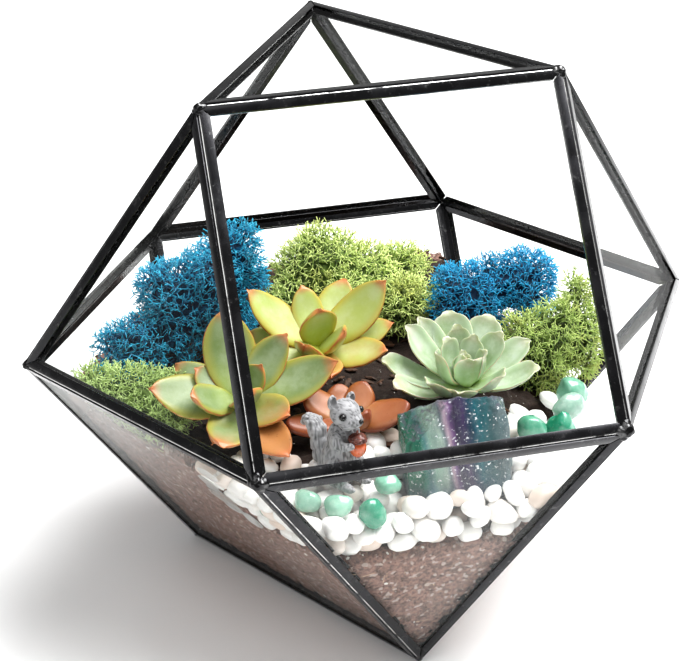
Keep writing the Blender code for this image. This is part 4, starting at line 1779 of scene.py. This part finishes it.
def add_camera():
    back = orbit(CAMERA_AZIMUTH, CAMERA_ELEVATION)
    side = Vector((0, 0, 1)).cross(back).normalized()
    up = back.cross(side)
    roll = math.radians(CAMERA_ROLL)
    right = math.cos(roll) * side + math.sin(roll) * up
    above = math.cos(roll) * up - math.sin(roll) * side
    data = bpy.data.cameras.new("camera")
    data.lens = CAMERA_LENS
    data.sensor_width = CAMERA_SENSOR
    data.clip_start = 0.01
    camera = bpy.data.objects.new("camera", data)
    turn = Matrix((right, above, back)).transposed().to_4x4()
    camera.matrix_world = Matrix.Translation(CAMERA_TARGET + back * CAMERA_DISTANCE) @ turn
    bpy.context.scene.collection.objects.link(camera)
    bpy.context.scene.camera = camera
    return camera


def add_area(name, azimuth, elevation, distance, size, power):
    direction = orbit(azimuth, elevation)
    data = bpy.data.lights.new(name, "AREA")
    data.size = size
    data.energy = power
    lamp = bpy.data.objects.new(name, data)
    lamp.matrix_world = Matrix.Translation(direction * distance) @ turned_to(direction, 0)
    bpy.context.scene.collection.objects.link(lamp)
    return lamp


def floor_finish():
    look = bpy.context.scene.terrarium_studio
    made = Finish("pale_floor", {"Roughness": 0.9})
    shade = [c * 0.985 for c in look.floor]
    made.drive({"Base Color": made.mix(made.noise(12, 2), shade, look.floor)})
    return made.material


def add_floor():
    bm = bmesh.new()
    bmesh.ops.create_grid(bm, x_segments=4, y_segments=4, size=4)
    mesh = bpy.data.meshes.new("floor")
    bm.to_mesh(mesh)
    bm.free()
    mesh.materials.append(floor_finish())
    floor = bpy.data.objects.new("floor", mesh)
    bpy.context.scene.collection.objects.link(floor)
    return floor


def set_sky(strength):
    world = bpy.data.worlds.new("studio")
    world.use_nodes = True
    background = world.node_tree.nodes["Background"]
    background.inputs["Color"].default_value = (1, 1, 1, 1)
    background.inputs["Strength"].default_value = strength
    bpy.context.scene.world = world


def build_stage():
    """White floor, soft light and the camera."""
    look = bpy.context.scene.terrarium_studio
    set_sky(look.sky)
    add_floor()
    add_area("key", 92, 64, 1.3, 1.0, look.key_power)
    add_area("fill", -40, 50, 1.4, 1.0, look.fill_power)
    add_camera()
    view = bpy.context.scene.view_settings
    view.view_transform = "Standard"
    view.look = "Medium High Contrast"


# Operators and panel


class TERRARIUM_OT_strips(bpy.types.Operator):
    """One folded strip per edge, in the frame's own section, with softened folds"""

    bl_idname = "terrarium.strips"
    bl_label = "Metal strips"

    def execute(self, context):
        build_strips()
        return {"FINISHED"}


class TERRARIUM_OT_seams(bpy.types.Operator):
    """A thin line of solder along every edge, which swells and dips a little"""

    bl_idname = "terrarium.seams"
    bl_label = "Solder seams"

    def execute(self, context):
        build_seams()
        return {"FINISHED"}


class TERRARIUM_OT_beads(bpy.types.Operator):
    """A lump of solder over every corner, with short runs into the edges that meet there"""

    bl_idname = "terrarium.beads"
    bl_label = "Solder beads"

    def execute(self, context):
        build_beads()
        return {"FINISHED"}


class TERRARIUM_OT_panes(bpy.types.Operator):
    """The frame's panes keep their own meshes and take the dusty glass"""

    bl_idname = "terrarium.panes"
    bl_label = "Panes"

    def execute(self, context):
        build_panes()
        return {"FINISHED"}


class TERRARIUM_OT_soil(bpy.types.Operator):
    """Crumbly potting mix, pressed flat against the panes and loose on top"""

    bl_idname = "terrarium.soil"
    bl_label = "Soil"

    def execute(self, context):
        build_soil()
        return {"FINISHED"}


class TERRARIUM_OT_flecks(bpy.types.Operator):
    """White perlite grains and pale fibres, mostly where the soil lies against the glass"""

    bl_idname = "terrarium.flecks"
    bl_label = "Perlite and straw"

    def execute(self, context):
        build_flecks()
        return {"FINISHED"}


class TERRARIUM_OT_bark(bpy.types.Operator):
    """Dark flakes of bark that lie loose on the soil between the plants"""

    bl_idname = "terrarium.bark"
    bl_label = "Bark flakes"

    def execute(self, context):
        build_bark()
        return {"FINISHED"}


class TERRARIUM_OT_gravel(bpy.types.Operator):
    """Water-worn white pebbles, a few of them pink or beige"""

    bl_idname = "terrarium.gravel"
    bl_label = "White gravel"

    def execute(self, context):
        build_gravel()
        return {"FINISHED"}


class TERRARIUM_OT_green_stones(bpy.types.Operator):
    """Ten tumbled stones, from dark emerald to pale mint"""

    bl_idname = "terrarium.green_stones"
    bl_label = "Green stones"

    def execute(self, context):
        build_green_stones()
        return {"FINISHED"}


class TERRARIUM_OT_fluorite(bpy.types.Operator):
    """A block of banded fluorite, sawn and tumbled, with chipped corners"""

    bl_idname = "terrarium.fluorite"
    bl_label = "Fluorite block"

    def execute(self, context):
        build_fluorite()
        return {"FINISHED"}


class TERRARIUM_OT_squirrel(bpy.types.Operator):
    """A grey resin squirrel that sits upright and holds an acorn"""

    bl_idname = "terrarium.squirrel"
    bl_label = "Squirrel"

    def execute(self, context):
        build_squirrel()
        return {"FINISHED"}


class TERRARIUM_OT_golden_left(bpy.types.Operator):
    """The left golden sedum, sunburnt below"""

    bl_idname = "terrarium.golden_left"
    bl_label = "Golden sedum, left"

    def execute(self, context):
        build_golden_left()
        return {"FINISHED"}


class TERRARIUM_OT_golden_centre(bpy.types.Operator):
    """The golden sedum in the middle"""

    bl_idname = "terrarium.golden_centre"
    bl_label = "Golden sedum, centre"

    def execute(self, context):
        build_golden_centre()
        return {"FINISHED"}


class TERRARIUM_OT_red(bpy.types.Operator):
    """The fat red leaves behind the squirrel"""

    bl_idname = "terrarium.red"
    bl_label = "Red sedum"

    def execute(self, context):
        build_red()
        return {"FINISHED"}


class TERRARIUM_OT_echeveria(bpy.types.Operator):
    """The pale rosette on the right"""

    bl_idname = "terrarium.echeveria"
    bl_label = "Echeveria"

    def execute(self, context):
        build_echeveria()
        return {"FINISHED"}


class TERRARIUM_OT_blue_left(bpy.types.Operator):
    """The tall blue clump at the back left"""

    bl_idname = "terrarium.blue_left"
    bl_label = "Blue moss, left"

    def execute(self, context):
        build_blue_left()
        return {"FINISHED"}


class TERRARIUM_OT_blue_right(bpy.types.Operator):
    """The finer blue cushion at the right"""

    bl_idname = "terrarium.blue_right"
    bl_label = "Blue moss, right"

    def execute(self, context):
        build_blue_right()
        return {"FINISHED"}


class TERRARIUM_OT_green_centre(bpy.types.Operator):
    """The yellow-green clump between the blue ones"""

    bl_idname = "terrarium.green_centre"
    bl_label = "Green moss, centre"

    def execute(self, context):
        build_green_centre()
        return {"FINISHED"}


class TERRARIUM_OT_green_right(bpy.types.Operator):
    """The dense green clump behind the right stones"""

    bl_idname = "terrarium.green_right"
    bl_label = "Green moss, right"

    def execute(self, context):
        build_green_right()
        return {"FINISHED"}


class TERRARIUM_OT_green_left(bpy.types.Operator):
    """The low green clump behind the lower left pane"""

    bl_idname = "terrarium.green_left"
    bl_label = "Green moss, left"

    def execute(self, context):
        build_green_left()
        return {"FINISHED"}


class TERRARIUM_OT_stage(bpy.types.Operator):
    """White floor, soft light and the camera"""

    bl_idname = "terrarium.stage"
    bl_label = "Stage"

    def execute(self, context):
        build_stage()
        return {"FINISHED"}


OPERATORS = (
    TERRARIUM_OT_strips,
    TERRARIUM_OT_seams,
    TERRARIUM_OT_beads,
    TERRARIUM_OT_panes,
    TERRARIUM_OT_soil,
    TERRARIUM_OT_flecks,
    TERRARIUM_OT_bark,
    TERRARIUM_OT_gravel,
    TERRARIUM_OT_green_stones,
    TERRARIUM_OT_fluorite,
    TERRARIUM_OT_squirrel,
    TERRARIUM_OT_golden_left,
    TERRARIUM_OT_golden_centre,
    TERRARIUM_OT_red,
    TERRARIUM_OT_echeveria,
    TERRARIUM_OT_blue_left,
    TERRARIUM_OT_blue_right,
    TERRARIUM_OT_green_centre,
    TERRARIUM_OT_green_right,
    TERRARIUM_OT_green_left,
    TERRARIUM_OT_stage,
)


class TERRARIUM_PT_panel(bpy.types.Panel):
    """Lists the terrarium's operators and settings."""

    bl_label = "Terrarium"
    bl_space_type = "VIEW_3D"
    bl_region_type = "UI"
    bl_category = "Terrarium"

    def draw(self, context):
        for made in OPERATORS:
            self.layout.operator(made.bl_idname)
        for key, group in SETTINGS.items():
            box = self.layout.box()
            box.label(text=group.__doc__)
            settings = getattr(context.scene, key)
            for name in group.__annotations__:
                box.prop(settings, name)


def register():
    for made in (*SETTINGS.values(), *OPERATORS, TERRARIUM_PT_panel):
        bpy.utils.register_class(made)
    for key, group in SETTINGS.items():
        setattr(bpy.types.Scene, key, bpy.props.PointerProperty(type=group))


def unregister():
    for key in SETTINGS:
        delattr(bpy.types.Scene, key)
    for made in reversed((*SETTINGS.values(), *OPERATORS, TERRARIUM_PT_panel)):
        bpy.utils.unregister_class(made)


def main():
    register()
    for made in OPERATORS:
        group, name = made.bl_idname.split(".")
        getattr(getattr(bpy.ops, group), name)()


if __name__ == "__main__":
    main()
